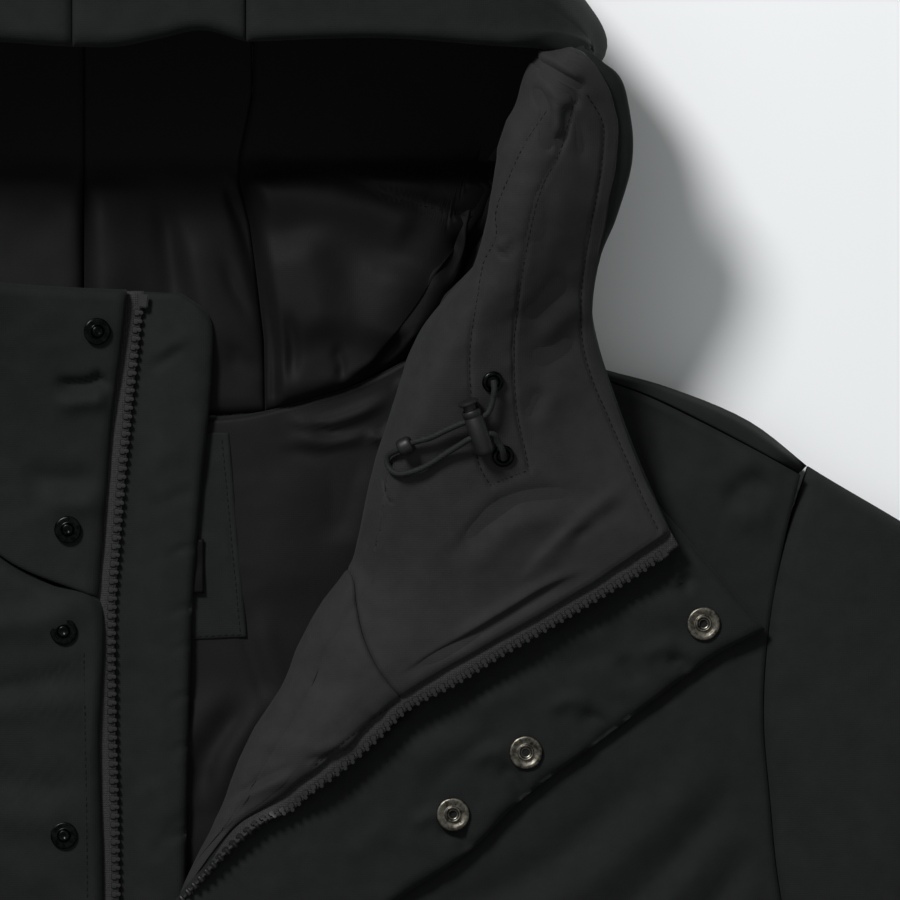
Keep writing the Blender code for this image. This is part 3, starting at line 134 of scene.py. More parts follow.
# Right side of the hood, crown to chin
HOOD_RIGHT = (
    # edge                     crown                  outermost               side                    floor
    ((-34, 368.0, 101), (-34, 425, 99), (-34, 458.4, 55), (-34, 440, 15), (-34, 405, 4.5)),
    ((-88, 371.5, 100), (-100, 417, 97), (-110, 439, 53), (-101, 423, 15), (-92, 396, 4.5)),
    ((-135, 372.5, 97), (-150, 397, 88), (-161, 402, 52), (-147, 389, 15), (-132, 368, 4.5)),
    ((-160, 362, 92), (-174, 368, 76), (-181, 368, 48), (-166, 358, 15), (-148, 342, 4.5)),
    ((-168, 342, 88), (-179, 341, 72), (-183, 340, 48), (-170, 334, 15), (-150, 320, 4.5)),
    ((-163, 322, 82), (-175, 315, 68), (-180, 311, 46), (-166, 308, 15), (-145, 298, 4.5)),
    ((-148, 304, 74), (-160, 292, 66), (-166, 287, 46), (-155, 288, 16), (-134, 280, 4.5)),
    ((-124, 290, 62), (-134, 277, 60), (-139, 272, 50), (-132, 277, 36), (-122, 276, 21)),
    ((-100, 281, 50), (-105, 272, 50), (-106, 262, 44), (-103, 256, 32), (-105, 252, 23.0)),
    ((-80, 278.5, 42), (-86, 266, 42), (-90, 252, 38), (-93, 238, 30), (-98, 226, 22)),
    ((-58, 276.5, 34), (-64, 262, 34), (-70, 242, 31), (-78, 222, 26), (-84, 206, 21.7)),
    ((-37, 275.3, 28), (-42, 258, 28), (-47, 234, 26), (-54, 208, 23), (-60, 185, 21.3)),
    ((-16.0, 274.5, 24), (-18.2, 252, 23), (-22.0, 222, 21.5), (-24.0, 197, 21), (-26.0, 170, 21)),
)
HOOD_RIGHT_NECK = (
    (-34.0, 225.0, FLOOR_MID), (-46.0, 227.6, FLOOR_MID), (-60.0, 231.4, FLOOR_MID), (-72.0, 235.0, FLOOR_MID),
    (-82.0, 239.2, FLOOR_MID), (-98.0, 247.8, FLOOR_MID), (-112.0, 257.4, FLOOR_MID), (-111.5, 265.5, 14.0),
    (-110.6, 244.0, 21.0), (-103.6, 219.2, 21.0), (-89.6, 193.2, 21.0), (-65.0, 166.4, 21.0), (-27.6, 150.5, 21.0))

# Fold of the left front: roll x, y, zip x, y, and the turned part of the half circle
LAPEL = ((8.0, 43.2, 0.0, 0.0, 0.55), (22.8, 65.6, 0.0, 0.0, 0.8), (34.0, 93.2, 49.0, 74.0, 1.0),
         (46.8, 114.0, 60.0, 82.2, 1.0), (54.0, 131.2, 72.0, 92.0, 1.0), (62.0, 146.0, 84.0, 103.2, 1.0),
         (75.0, 164.0, 94.0, 111.2, 1.0))
FRONT_EDGE_LEFT = ((-3.0, HEM_Y), (-3.0, -350.0), (-3.0, -240.0), (-3.0, -130.0), (-2.0, -40.0), (3.0, 6.0))
FRONT_NECK_LEFT = ((91.7, 170.0), (94.2, 179.0), (96.0, 188.0), (99.7, 202.0), (105.6, 226.0),
                   (113.0, 246.0), (116.5, 258.0))
FRONT_EDGE_RIGHT = ((-26.0, HEM_Y), (-26.0, -350.0), (-26.0, -240.0), (-26.0, -130.0), (-25.6, -30.0),
                    (-25.2, 30.0), (-26.8, 90.0), (-27.2, 149.7))
FRONT_NECK_RIGHT = ((-46.0, 155.6), (-65.0, 165.5), (-78.0, 178.0), (-90.4, 192.6), (-104.6, 218.7),
                    (-112.2, 240.6), (-117.3, 257.6))
ZIP_EDGE_RIGHT = ((-26.0, HEM_Y), (-26.0, -300.0), (-26.0, -150.0), (-25.2, 30.0), (-27.2, 132.0),
                  (-26.0, 162.0), (-23.6, 192.0), (-21.2, 220.0), (-17.2, 252.0), (-15.2, ZIP_RIGHT_Y))
WIND_GUARD_EDGE = ((8.0, HEM_Y), (8.0, -300.0), (8.0, -150.0), (7.6, 35.0), (9.6, 130.0), (10.4, 152.0),
                   (14.0, 197.0), (18.0, 240.0), (17.0, 264.0), (6.0, 273.0))

# Storm flap, hem to top end: sewn edge, fold (or none) and free edge
STORM_FLAP = (
    ((-4, HEM_Y, 31.6), None, (-56, HEM_Y, 36)), ((-4, -330, 31.6), None, (-56, -330, 36)),
    ((-4, -200, 31.6), None, (-56, -200, 36)), ((-4, -126, 31.6), None, (-56, -122, 37)),
    ((-4, -85, 31.8), (-41, -88), (-24, -98, 41)), ((-4, -45, 32.0), (-26, -46), (6, -56, 40)),
    ((-4, -12, 32.4), (-13, -12), (32, -18, 38)), ((2, 26, 35.0), None, (52, -2, 35.5)),
    ((20, 48, 34.5), None, (66, 9, 35)), ((36, 66, 33.5), None, (80, 20, 33)),
    ((56, 80, FLAP_MID), None, (98, 33, FLAP_MID)), ((80, 92, FLAP_MID), None, (122, 49.2, FLAP_MID)),
    ((108, 118, FLAP_MID), None, (142, 69.2, FLAP_MID)), ((142, 146, FLAP_MID), None, (174, 93.2, FLAP_MID)),
    ((166, 166, FLAP_MID), None, (198.8, 112, FLAP_MID)), ((179, 183, FLAP_MID), None, (221, 128, FLAP_MID)),
    ((190, 197, FLAP_MID), None, (240.4, 138, FLAP_MID)),
)
ZIP_EDGE_LEFT = ((94.0, 111.2), (114.0, 122.0), (130.0, 132.0), (150.0, 143.6), (170.0, 155.5), (187.0, 166.0),
                 (202.4, 177.0))

# Cord lock axis and the drawcord's own route over the facing
LOCK_TOP, LOCK_FOOT = (120.8, 229.6, 69.09), (128.4, 208.4, 63.76)
CORD_RADIUS = 1.2
CORD_ROUTE = (
    (131.3, 237.5, 67.4), (131.6, 234.0, 68.0), (131.1, 230.5, 67.2), (130.2, 227.0, 67.0), (128.4, 223.9, 67.0),
    (123.6, 222.2, 67.1), (119.1, 220.7, 67.1), (112.6, 217.9, 66.2), (106.3, 214.9, 65.5), (99.5, 213.0, 64.5),
    (93.7, 210.2, 61.6), (89.3, 207.5, 57.0), (89.1, 204.1, 56.4), (91.1, 201.5, 57.4), (94.1, 200.4, 58.8),
    (100.8, 201.9, 60.3), (107.0, 205.0, 61.1), (112.8, 208.8, 62.7), (118.6, 212.4, 64.7), (121.5, 214.2, 65.7),
    (126.4, 215.8, 65.6), (131.1, 216.2, 65.1), (133.1, 213.0, 63.2), (135.0, 209.5, 62.0), (135.4, 206.3, 59.6))


class Slot(Enum):
    """Material slots, by name."""

    SHELL = "shell_cloth"
    LINING = "lining_cloth"
    TAPE = "zip_tape"
    LABEL = "label_cloth"
    BRAID = "cord_braid"
    PLASTIC = "black_plastic"
    BLACK_METAL = "black_metal"
    STEEL = "aged_steel"


# ---------------------------------------------------------------- lines, grids and meshes

def even(line: np.ndarray, count: int) -> np.ndarray:
    """Evenly spaced points along a polyline.

    Args:
        line: the polyline's points, one a row.
        count: how many points to give.

    Returns:
        The points, one a row.
    """
    steps = np.linalg.norm(np.diff(line, axis=0), axis=1)
    reach = np.concatenate([[0.0], np.cumsum(steps)])
    at = np.linspace(0.0, reach[-1], count)
    return np.stack([np.interp(at, reach, line[:, k]) for k in range(line.shape[1])], axis=1)


def spline(points: Sequence, count: int) -> np.ndarray:
    """Even points on a centripetal spline through the given points.

    Args:
        points: the points it runs through.
        count: how many points to give.

    Returns:
        The points, one a row.
    """
    pts = np.asarray(points, float)
    ext = np.vstack([2 * pts[0] - pts[1], pts, 2 * pts[-1] - pts[-2]])
    share = np.linspace(0, 1, 16, endpoint=False)[:, None]
    fine = []
    for p0, p1, p2, p3 in zip(ext, ext[1:], ext[2:], ext[3:]):
        t1 = math.sqrt(max(np.linalg.norm(p1 - p0), 1e-6))
        t2 = t1 + math.sqrt(max(np.linalg.norm(p2 - p1), 1e-6))
        t3 = t2 + math.sqrt(max(np.linalg.norm(p3 - p2), 1e-6))
        t = t1 + (t2 - t1) * share
        a1 = p0 + (p1 - p0) * (t / t1)
        a2 = p1 + (p2 - p1) * ((t - t1) / (t2 - t1))
        a3 = p2 + (p3 - p2) * ((t - t2) / (t3 - t2))
        b1 = a1 + (a2 - a1) * (t / t2)
        b2 = a2 + (a3 - a2) * ((t - t1) / (t3 - t1))
        fine.append(b1 + (b2 - b1) * ((t - t1) / (t2 - t1)))
    fine.append(pts[-1:])
    return even(np.vstack(fine), count)


def coons(low: np.ndarray, high: np.ndarray, left: np.ndarray, right: np.ndarray) -> np.ndarray:
    """A grid of points that fills the space between four edges.

    Args:
        low, high: the first and last row.
        left, right: the first and last column.

    Returns:
        The grid, rows by columns by coordinates.
    """
    v = np.linspace(0, 1, len(left))[:, None, None]
    u = np.linspace(0, 1, len(low))[None, :, None]
    ruled = low[None] * (1 - v) + high[None] * v + left[:, None] * (1 - u) + right[:, None] * u
    corners = (low[0] * (1 - u) + low[-1] * u) * (1 - v) + (high[0] * (1 - u) + high[-1] * u) * v
    return ruled - corners


def through(rows: np.ndarray, count: int, corner: tuple[int, np.ndarray] | None = None) -> np.ndarray:
    """More rows on smooth curves through the given ones.

    Args:
        rows: control rows along the first axis.
        count: how many rows to give.
        corner: a row where the curves may kink, and how much each of its points does, 0 to 1.

    Returns:
        The finer rows.
    """
    flat = rows.reshape(len(rows), -1, rows.shape[-1])
    gaps = np.sqrt(np.maximum(np.linalg.norm(np.diff(flat, axis=0), axis=2).mean(axis=1), 1e-6))
    knots = np.concatenate([[0.0], np.cumsum(gaps)])
    slopes = np.diff(rows, axis=0) / gaps.reshape((-1,) + (1,) * (rows.ndim - 1))
    tangents = np.empty_like(rows)
    tangents[0], tangents[-1] = slopes[0], slopes[-1]
    before = gaps[:-1].reshape((-1,) + (1,) * (rows.ndim - 1))
    after = gaps[1:].reshape((-1,) + (1,) * (rows.ndim - 1))
    tangents[1:-1] = (slopes[:-1] * after + slopes[1:] * before) / (before + after)
    leaving, reaching = tangents.copy(), tangents.copy()
    at = np.linspace(0, knots[-1], count)
    if corner is not None:
        row, kink = corner[0], corner[1].reshape((-1,) + (1,) * (rows.ndim - 2))
        leaving[row] += kink * (slopes[row] - tangents[row])
        reaching[row] += kink * (slopes[row - 1] - tangents[row])
        at[np.argmin(np.abs(at - knots[row]))] = knots[row]
    seg = np.clip(np.searchsorted(knots, at, side="right") - 1, 0, len(gaps) - 1)
    h = gaps[seg]
    t = (at - knots[seg]) / h
    shape = (-1,) + (1,) * (rows.ndim - 1)
    t, h = t.reshape(shape), h.reshape(shape)
    a, b = rows[seg], rows[seg + 1]
    return (a * (2 * t ** 3 - 3 * t ** 2 + 1) + leaving[seg] * h * (t ** 3 - 2 * t ** 2 + t)
            + b * (3 * t ** 2 - 2 * t ** 3) + reaching[seg + 1] * h * (t ** 3 - t ** 2))


def refine(grid: np.ndarray, rows: int, cols: int, corner: tuple[int, np.ndarray] | None = None) -> np.ndarray:
    """A smooth finer grid through a control grid."""
    tall = through(grid, rows, corner)
    return through(tall.transpose(1, 0, 2), cols).transpose(1, 0, 2)


def normals(grid: np.ndarray) -> np.ndarray:
    """Unit normals of a grid, square to its rows and columns."""
    across = np.cross(np.gradient(grid, axis=1), np.gradient(grid, axis=0))
    return across / np.maximum(np.linalg.norm(across, axis=2, keepdims=True), 1e-9)


def reach(grid: np.ndarray, axis: int, from_end: bool = False) -> np.ndarray:
    """Distance of each grid point from one edge, along the grid.

    Args:
        grid: rows by columns by coordinates.
        axis: 0 to measure from the first row, 1 from the first column.
        from_end: measure from the last row or column.

    Returns:
        Rows by columns.
    """
    step = np.linalg.norm(np.diff(grid, axis=axis), axis=2)
    total = np.concatenate([np.zeros_like(step[:1] if axis == 0 else step[:, :1]), np.cumsum(step, axis=axis)], axis)
    if not from_end:
        return total
    return (total[-1:] if axis == 0 else total[:, -1:]) - total


def rounded(distance: np.ndarray, radius: float, least: float = 0.0) -> np.ndarray:
    """A quarter ellipse that rises from an edge to 1 at a radius."""
    t = np.clip(distance / radius, 0.0, 1.0)
    return least + (1 - least) * np.sqrt(np.maximum(0.0, 1 - (1 - t) ** 2))


def plan(points: np.ndarray) -> np.ndarray:
    """Where the camera sees points, as x and y at the lapel's height."""
    scale = (VIEW_HEIGHT - PLAN_HEIGHT) / (VIEW_HEIGHT - points[..., 2])
    return np.stack([VIEW_X + (points[..., 0] - VIEW_X) * scale, VIEW_Y + (points[..., 1] - VIEW_Y) * scale], axis=-1)


def grid_quads(rows: int, cols: int, base: int = 0, turned: bool = False) -> np.ndarray:
    """Quads of a grid of points that starts at one index."""
    index = np.arange(rows * cols).reshape(rows, cols) + base
    quads = np.stack([index[:-1, :-1], index[:-1, 1:], index[1:, 1:], index[1:, :-1]], axis=-1).reshape(-1, 4)
    return quads[:, ::-1] if turned else quads


def rim_quads(rows: int, cols: int) -> np.ndarray:
    """Quads round the edge between two grids of the same size, one after the other."""
    index = np.arange(rows * cols).reshape(rows, cols)
    ring = np.concatenate([index[0], index[1:, -1], index[-1, -2::-1], index[-2:0:-1, 0]])
    ahead = np.roll(ring, -1)
    return np.stack([ahead, ring, ring + rows * cols, ahead + rows * cols], axis=-1)


def add_mesh(name: str, points: np.ndarray, faces: Sequence, material: bpy.types.Material,
             sharp: float | None = None) -> bpy.types.Object:
    """A smooth mesh object from points in millimetres.

    Args:
        name: the object's name.
        points: one point a row.
        faces: index lists, or one array of quads.
        material: its finish.
        sharp: the angle in degrees past which an edge stays sharp.

    Returns:
        The new object.
    """
    mesh = bpy.data.meshes.new(name)
    mesh.from_pydata((np.asarray(points, float) * MM).tolist(), [], [list(map(int, f)) for f in faces])
    mesh.validate()
    shape = bmesh.new()
    shape.from_mesh(mesh)
    inside_out = shape.calc_volume(signed=True) < 0
    shape.free()
    if inside_out:
        mesh.flip_normals()
    mesh.shade_smooth()
    if sharp is not None:
        mesh.set_sharp_from_angle(angle=math.radians(sharp))
    mesh.materials.append(material)
    piece = bpy.data.objects.new(name, mesh)
    bpy.context.scene.collection.objects.link(piece)
    return piece


def wall(name: str, outer: np.ndarray, inner: np.ndarray, material: bpy.types.Material) -> bpy.types.Object:
    """A closed wall between two grids of the same size."""
    rows, cols = outer.shape[:2]
    points = np.concatenate([outer.reshape(-1, 3), inner.reshape(-1, 3)])
    faces = np.concatenate([grid_quads(rows, cols), grid_quads(rows, cols, rows * cols, turned=True),
                            rim_quads(rows, cols)])
    return add_mesh(name, points, faces, material)


def stretch(values: np.ndarray, run: np.ndarray, start: np.ndarray, end: np.ndarray, count: int) -> np.ndarray:
    """Evenly spaced values on a part of each row of a grid.

    Args:
        values: rows by columns by coordinates.
        run: how far along its row each point lies.
        start, end: where the part begins and ends in each row.
        count: how many columns to give.

    Returns:
        Rows by count by coordinates.
    """
    share = np.linspace(0, 1, count)
    rows = []
    for line, at, low, high in zip(values, run, start, end):
        places = low + (high - low) * share
        rows.append(np.stack([np.interp(places, at, line[:, k]) for k in range(line.shape[1])], axis=1))
    return np.array(rows)


# ---------------------------------------------------------------- relief

def smooth_noise(x: np.ndarray, y: np.ndarray, size: float, seed: int) -> np.ndarray:
    """Soft uneven values from -1 to 1.

    Args:
        x, y: places in millimetres.
        size: width of one swell in millimetres.
        seed: which pattern.

    Returns:
        One value for each place.
    """
    table = np.random.default_rng(seed).uniform(-1, 1, (64, 64))
    u, v = x / size + 7.3 * seed, y / size + 3.1 * seed
    iu, iv = np.floor(u).astype(int), np.floor(v).astype(int)
    fu, fv = u - iu, v - iv
    fu, fv = fu * fu * (3 - 2 * fu), fv * fv * (3 - 2 * fv)
    a, b = table[iu % 64, iv % 64], table[(iu + 1) % 64, iv % 64]
    c, d = table[iu % 64, (iv + 1) % 64], table[(iu + 1) % 64, (iv + 1) % 64]
    return (a * (1 - fu) + b * fu) * (1 - fv) + (c * (1 - fu) + d * fu) * fv


def along_line(line: np.ndarray, xy: np.ndarray) -> tuple[np.ndarray, np.ndarray, np.ndarray]:
    """How places lie by a polyline.

    Args:
        line: the polyline's points.
        xy: the places, one a row.

    Returns:
        Distance from it, length along it, and side of it, 1 to its left and -1 to its right.
    """
    best = np.full(len(xy), 1e9)
    along, side = np.zeros(len(xy)), np.ones(len(xy))
    start = 0.0
    for a, b in zip(line, line[1:]):
        step = b - a
        length = max(float(np.linalg.norm(step)), 1e-9)
        way = step / length
        off = xy - a
        t = np.clip(off @ way, 0, length)
        gap = off - t[:, None] * way
        distance = np.hypot(gap[:, 0], gap[:, 1])
        near = distance < best
        best = np.where(near, distance, best)
        along = np.where(near, start + t, along)
        side = np.where(near, np.sign(way[0] * off[:, 1] - way[1] * off[:, 0] + 1e-12), side)
        start += length
    return best, along, side


@dataclass(frozen=True)
class Fold:
    """A soft ridge, or a trough where its height is negative, along a line seen from above.

    Width is its half-width, lean makes its left side (positive) or right side (negative) wider, and the
    fades are the shares of its length over which its ends die out.
    """

    line: tuple
    width: float
    height: float
    lean: float = 0.0
    fade: tuple[float, float] = (0.3, 0.3)

    def rise(self, xy: np.ndarray) -> np.ndarray:
        """Height of this fold at some places."""
        path = spline(self.line, 6 * len(self.line)) if len(self.line) > 2 else np.asarray(self.line, float)
        out = np.zeros(len(xy))
        room = 3 * self.width * (1 + abs(self.lean))
        low, high = path.min(axis=0) - room, path.max(axis=0) + room
        near = np.all((xy > low) & (xy < high), axis=1)
        if not near.any():
            return out
        distance, along, side = along_line(path, xy[near])
        total = np.linalg.norm(np.diff(path, axis=0), axis=1).sum()
        width = self.width * (1 + self.lean * side)
        ends = np.ones_like(along)
        for share, gap in zip(self.fade, (along, total - along)):
            if share > 0:
                t = np.clip(gap / (total * share), 0, 1)
                ends *= t * t * (3 - 2 * t)
        out[near] = self.height * ends * np.exp(-((distance / width) ** 2))
        return out


@dataclass(frozen=True)
class Groove:
    """The narrow dip that a row of stitches pulls in, with small puckers square to it."""

    line: tuple
    depth: float = 0.5
    width: float = 1.3
    pucker: float = 0.35
    pitch: float = 5.0
    spread: float = 5.0
    seed: int = 1

    def rise(self, xy: np.ndarray) -> np.ndarray:
        """Height of the dip and its puckers at some places."""
        path = spline(self.line, 6 * len(self.line)) if len(self.line) > 2 else np.asarray(self.line, float)
        out = np.zeros(len(xy))
        room = 3 * max(self.width, self.spread)
        near = np.all((xy > path.min(axis=0) - room) & (xy < path.max(axis=0) + room), axis=1)
        if not near.any():
            return out
        distance, along, side = along_line(path, xy[near])
        dip = -self.depth * np.exp(-((distance / self.width) ** 2))
        wave = smooth_noise(along + side * 0.6 * distance, side * 40.0 + along * 0.0, self.pitch, self.seed)
        crest = self.pucker * wave * np.exp(-distance / self.spread) * (1 - np.exp(-((distance / 0.9) ** 2)))
        out[near] = dip + crest
        return out


@dataclass(frozen=True)
class Relief:
    """What shapes one face of a cloth piece: listed folds, stitched dips and a soft unevenness."""

    folds: tuple = ()
    grooves: tuple = ()
    swell: float = 0.5
    swell_size: float = 34.0
    crumple: float = 0.16
    seed: int = 3

    def rise(self, xy: np.ndarray) -> np.ndarray:
        """Height at some places, one a row."""
        x, y = xy[:, 0], xy[:, 1]
        bend = 9 * smooth_noise(x, y, 40.0, self.seed + 5)
        out = self.swell * smooth_noise(x + bend, y - bend, self.swell_size, self.seed)
        out += self.swell * 0.45 * smooth_noise(x - bend, y + bend, self.swell_size * 0.45, self.seed + 1)
        ridge = 1 - np.abs(smooth_noise(x * 0.8 + y * 0.35 + bend, y - x * 0.25, 11.0, self.seed + 2)) * 2
        out += self.crumple * ridge
        for item in self.folds + self.grooves:
            out += item.rise(xy)
        return out

    def lay(self, grid: np.ndarray, way: np.ndarray, hold: np.ndarray | float = 1.0,
            keep: Callable | None = None) -> np.ndarray:
        """Move a face out along its normals by its relief.

        Args:
            grid: the face's points.
            way: its outward normals.
            hold: how far each point takes part, 0 at a pinned edge.
            keep: limits the heights, where given.

        Returns:
            The moved points.
        """
        rise = self.rise(plan(grid).reshape(-1, 2)).reshape(grid.shape[:2])
        if keep is not None:
            rise = keep(rise)
        return grid + way * (rise * hold)[..., None]


# ---------------------------------------------------------------- finishes

def linear(colour: str) -> tuple[float, float, float, float]:
    """An sRGB hex colour as the linear values that a shader takes."""
    values = [int(colour[k:k + 2], 16) / 255 for k in (1, 3, 5)]
    return (*(v / 12.92 if v <= 0.04045 else ((v + 0.055) / 1.055) ** 2.4 for v in values), 1.0)


def add_node(tree: bpy.types.NodeTree, kind: str, settings: dict | None = None, **inputs) -> bpy.types.Node:
    """Add a node with its settings, and its sockets set or linked.

    Args:
        tree: the node tree.
        kind: the node's type.
        settings: attributes of the node.
        inputs: sockets by name with _ for a space, or in0, in1 by place: a value, or an output to link.

    Returns:
        The node.
    """
    node = tree.nodes.new(kind)
    for key, value in (settings or {}).items():
        setattr(node, key, value)
    for key, value in inputs.items():
        socket = node.inputs[int(key[2:])] if key[:2] == "in" and key[2:].isdigit() else node.inputs[key.replace("_", " ")]
        if isinstance(value, bpy.types.NodeSocket):
            tree.links.new(value, socket)
        else:
            socket.default_value = value
    return node


def new_material(name: str) -> tuple[bpy.types.Material, bpy.types.NodeTree, bpy.types.Node]:
    """A material with its tree and its principled shader."""
    material = bpy.data.materials.new(name)
    material.use_nodes = True
    return material, material.node_tree, material.node_tree.nodes["Principled BSDF"]


@dataclass(frozen=True)
class WovenCloth:
    """A plain-woven cloth: fine crossing threads, slubs and an uneven dye."""

    name: str
    colour: str
    worn: str
    rough: float
    sheen: float
    specular: float
    thread: float           # drawn thread spacing in millimetres
    bump: float             # height of the threads in millimetres
    slub: float = 9.0

    def build(self) -> bpy.types.Material:
        """Make the material."""
        material, tree, shader = new_material(self.name)
        where = add_node(tree, "ShaderNodeTexCoord").outputs["Object"]
        rate = 1 / (self.thread * MM)
        grain = add_node(tree, "ShaderNodeTexNoise", Vector=where, Scale=rate * 0.9, Detail=3.0, Roughness=0.6)
        warp = add_node(tree, "ShaderNodeTexWave", {"bands_direction": "X"}, Vector=where, Scale=rate * 0.32,
                        Distortion=1.6, Detail=1.0, Detail_Scale=2.0)
        weft = add_node(tree, "ShaderNodeTexWave", {"bands_direction": "Y"}, Vector=where, Scale=rate * 0.32,
                        Distortion=1.6, Detail=1.0, Detail_Scale=2.0)
        cross = add_node(tree, "ShaderNodeMath", {"operation": "MULTIPLY"}, in0=warp.outputs["Fac"],
                         in1=weft.outputs["Fac"])
        threads = add_node(tree, "ShaderNodeMath", {"operation": "MULTIPLY_ADD"}, in0=cross.outputs[0], in1=0.6,
                           in2=grain.outputs["Fac"])
        patchy = add_node(tree, "ShaderNodeTexNoise", Vector=where, Scale=1 / (self.slub * MM), Detail=4.0,
                          Roughness=0.65)
        mixed = add_node(tree, "ShaderNodeMath", {"operation": "MULTIPLY_ADD"}, in0=threads.outputs[0], in1=0.45,
                         in2=patchy.outputs["Fac"])
        tone = add_node(tree, "ShaderNodeMapRange", Value=mixed.outputs[0], From_Min=0.55, From_Max=1.15)
        dye = add_node(tree, "ShaderNodeMix", {"data_type": "RGBA"}, in0=tone.outputs[0], in6=linear(self.colour),
                       in7=linear(self.worn))
        matt = add_node(tree, "ShaderNodeMapRange", Value=grain.outputs["Fac"], To_Min=self.rough - 0.06,
                        To_Max=self.rough + 0.08)
        relief = add_node(tree, "ShaderNodeBump", Height=threads.outputs[0], Strength=0.5, Distance=self.bump * MM)
        tree.links.new(dye.outputs[2], shader.inputs["Base Color"])
        tree.links.new(matt.outputs[0], shader.inputs["Roughness"])
        tree.links.new(relief.outputs[0], shader.inputs["Normal"])
        shader.inputs["IOR"].default_value = 1.5
        shader.inputs["Specular IOR Level"].default_value = self.specular
        shader.inputs["Sheen Weight"].default_value = self.sheen
        shader.inputs["Sheen Roughness"].default_value = 0.45
        shader.inputs["Sheen Tint"].default_value = (0.85, 0.92, 0.9, 1.0)
        return material


@dataclass(frozen=True)
class MouldedPlastic:
    """Injection-moulded acetal: dense black with a soft gloss and faint flow marks."""

    name: str
    colour: str
    rough: float

    def build(self) -> bpy.types.Material:
        """Make the material."""
        material, tree, shader = new_material(self.name)
        where = add_node(tree, "ShaderNodeTexCoord").outputs["Object"]
        flow = add_node(tree, "ShaderNodeTexNoise", Vector=where, Scale=700.0, Detail=3.0)
        gloss = add_node(tree, "ShaderNodeMapRange", Value=flow.outputs["Fac"], To_Min=self.rough - 0.07,
                         To_Max=self.rough + 0.1)
        tone = add_node(tree, "ShaderNodeMix", {"data_type": "RGBA"}, in0=flow.outputs["Fac"],
                        in6=linear(self.colour), in7=linear("#1a1a1b"))
        relief = add_node(tree, "ShaderNodeBump", Height=flow.outputs["Fac"], Strength=0.15, Distance=0.05 * MM)
        shader.inputs["Specular IOR Level"].default_value = 0.34
        tree.links.new(tone.outputs[2], shader.inputs["Base Color"])
        tree.links.new(gloss.outputs[0], shader.inputs["Roughness"])
        tree.links.new(relief.outputs[0], shader.inputs["Normal"])
        shader.inputs["IOR"].default_value = 1.48
        return material


@dataclass(frozen=True)
class PlatedMetal:
    """A plated fitting: patchy plating, lighter and darker at random, and faint handling marks."""

    name: str
    colour: str
    worn: str
    rough: float

    def build(self) -> bpy.types.Material:
        """Make the material."""
        material, tree, shader = new_material(self.name)
        where = add_node(tree, "ShaderNodeTexCoord").outputs["Object"]
        blotch = add_node(tree, "ShaderNodeTexNoise", Vector=where, Scale=420.0, Detail=5.0, Roughness=0.7)
        marks = add_node(tree, "ShaderNodeTexNoise", Vector=where, Scale=1800.0, Detail=2.0)
        edge = add_node(tree, "ShaderNodeMapRange", Value=blotch.outputs["Fac"], From_Min=0.36, From_Max=0.62)
        tone = add_node(tree, "ShaderNodeMix", {"data_type": "RGBA"}, in0=edge.outputs[0], in6=linear(self.colour),
                        in7=linear(self.worn))
        gloss = add_node(tree, "ShaderNodeMapRange", Value=marks.outputs["Fac"], To_Min=self.rough - 0.08,
                         To_Max=self.rough + 0.16)
        relief = add_node(tree, "ShaderNodeBump", Height=blotch.outputs["Fac"], Strength=0.25, Distance=0.12 * MM)
        tree.links.new(tone.outputs[2], shader.inputs["Base Color"])
        tree.links.new(gloss.outputs[0], shader.inputs["Roughness"])
        tree.links.new(relief.outputs[0], shader.inputs["Normal"])
        shader.inputs["Metallic"].default_value = 1.0
        return material


@dataclass(frozen=True)
class Finishes:
    """All the jacket's materials, made once."""

    shell: bpy.types.Material
    facing: bpy.types.Material
    lining: bpy.types.Material
    tape: bpy.types.Material
    label: bpy.types.Material
    braid: bpy.types.Material
    thread: bpy.types.Material
    plastic: bpy.types.Material
    black_metal: bpy.types.Material
    steel: bpy.types.Material

    @staticmethod
    def make() -> "Finishes":
        """Build every finish."""
        # The real threads are 0.15 to 0.25 mm apart and too fine for the picture, so they are drawn coarser
        return Finishes(
            # Peached nylon plain weave, its outer face: a matt black
            shell=WovenCloth("nylon_plain_weave", "#131414", "#1a1b1b", 0.82, 0.03, 0.14, 0.9, 0.16).build(),
            # The same nylon, made a shade lighter for the facing: painted light, for the brighter light that the facing
            # catches
            facing=WovenCloth("nylon_facing_painted_light", "#202020", "#282828", 0.8, 0.04, 0.16, 0.9, 0.16).build(),
            # Calendered polyester taffeta: smoother and a little darker
            lining=WovenCloth("polyester_taffeta", "#0d0d0d", "#101010", 0.66, 0.01, 0.12, 0.8, 0.08).build(),
            # Woven polyester tape: coarse ribs that catch the light
            tape=WovenCloth("polyester_zip_tape", "#181818", "#2c2c2c", 0.7, 0.06, 0.25, 0.9, 0.5, 1.2).build(),
            # Woven satin label, plain
            label=WovenCloth("satin_label", "#030303", "#050505", 0.5, 0.0, 0.1, 0.7, 0.06).build(),
            # Round polyester braid
            braid=WovenCloth("polyester_braid", "#131414", "#1d1e1e", 0.7, 0.03, 0.18, 0.9, 0.3, 3.0).build(),
            # Spun polyester thread
            thread=WovenCloth("polyester_thread", "#050505", "#0c0c0c", 0.7, 0.0, 0.15, 0.5, 0.1, 2.0).build(),
            plastic=MouldedPlastic("acetal_black", "#0f0f0f", 0.46).build(),
            black_metal=PlatedMetal("black_nickel", "#0a0b0b", "#1e2020", 0.24).build(),
            steel=PlatedMetal("antique_silver_plate", "#2b2924", "#736f66", 0.33).build(),
        )


# ---------------------------------------------------------------- panels

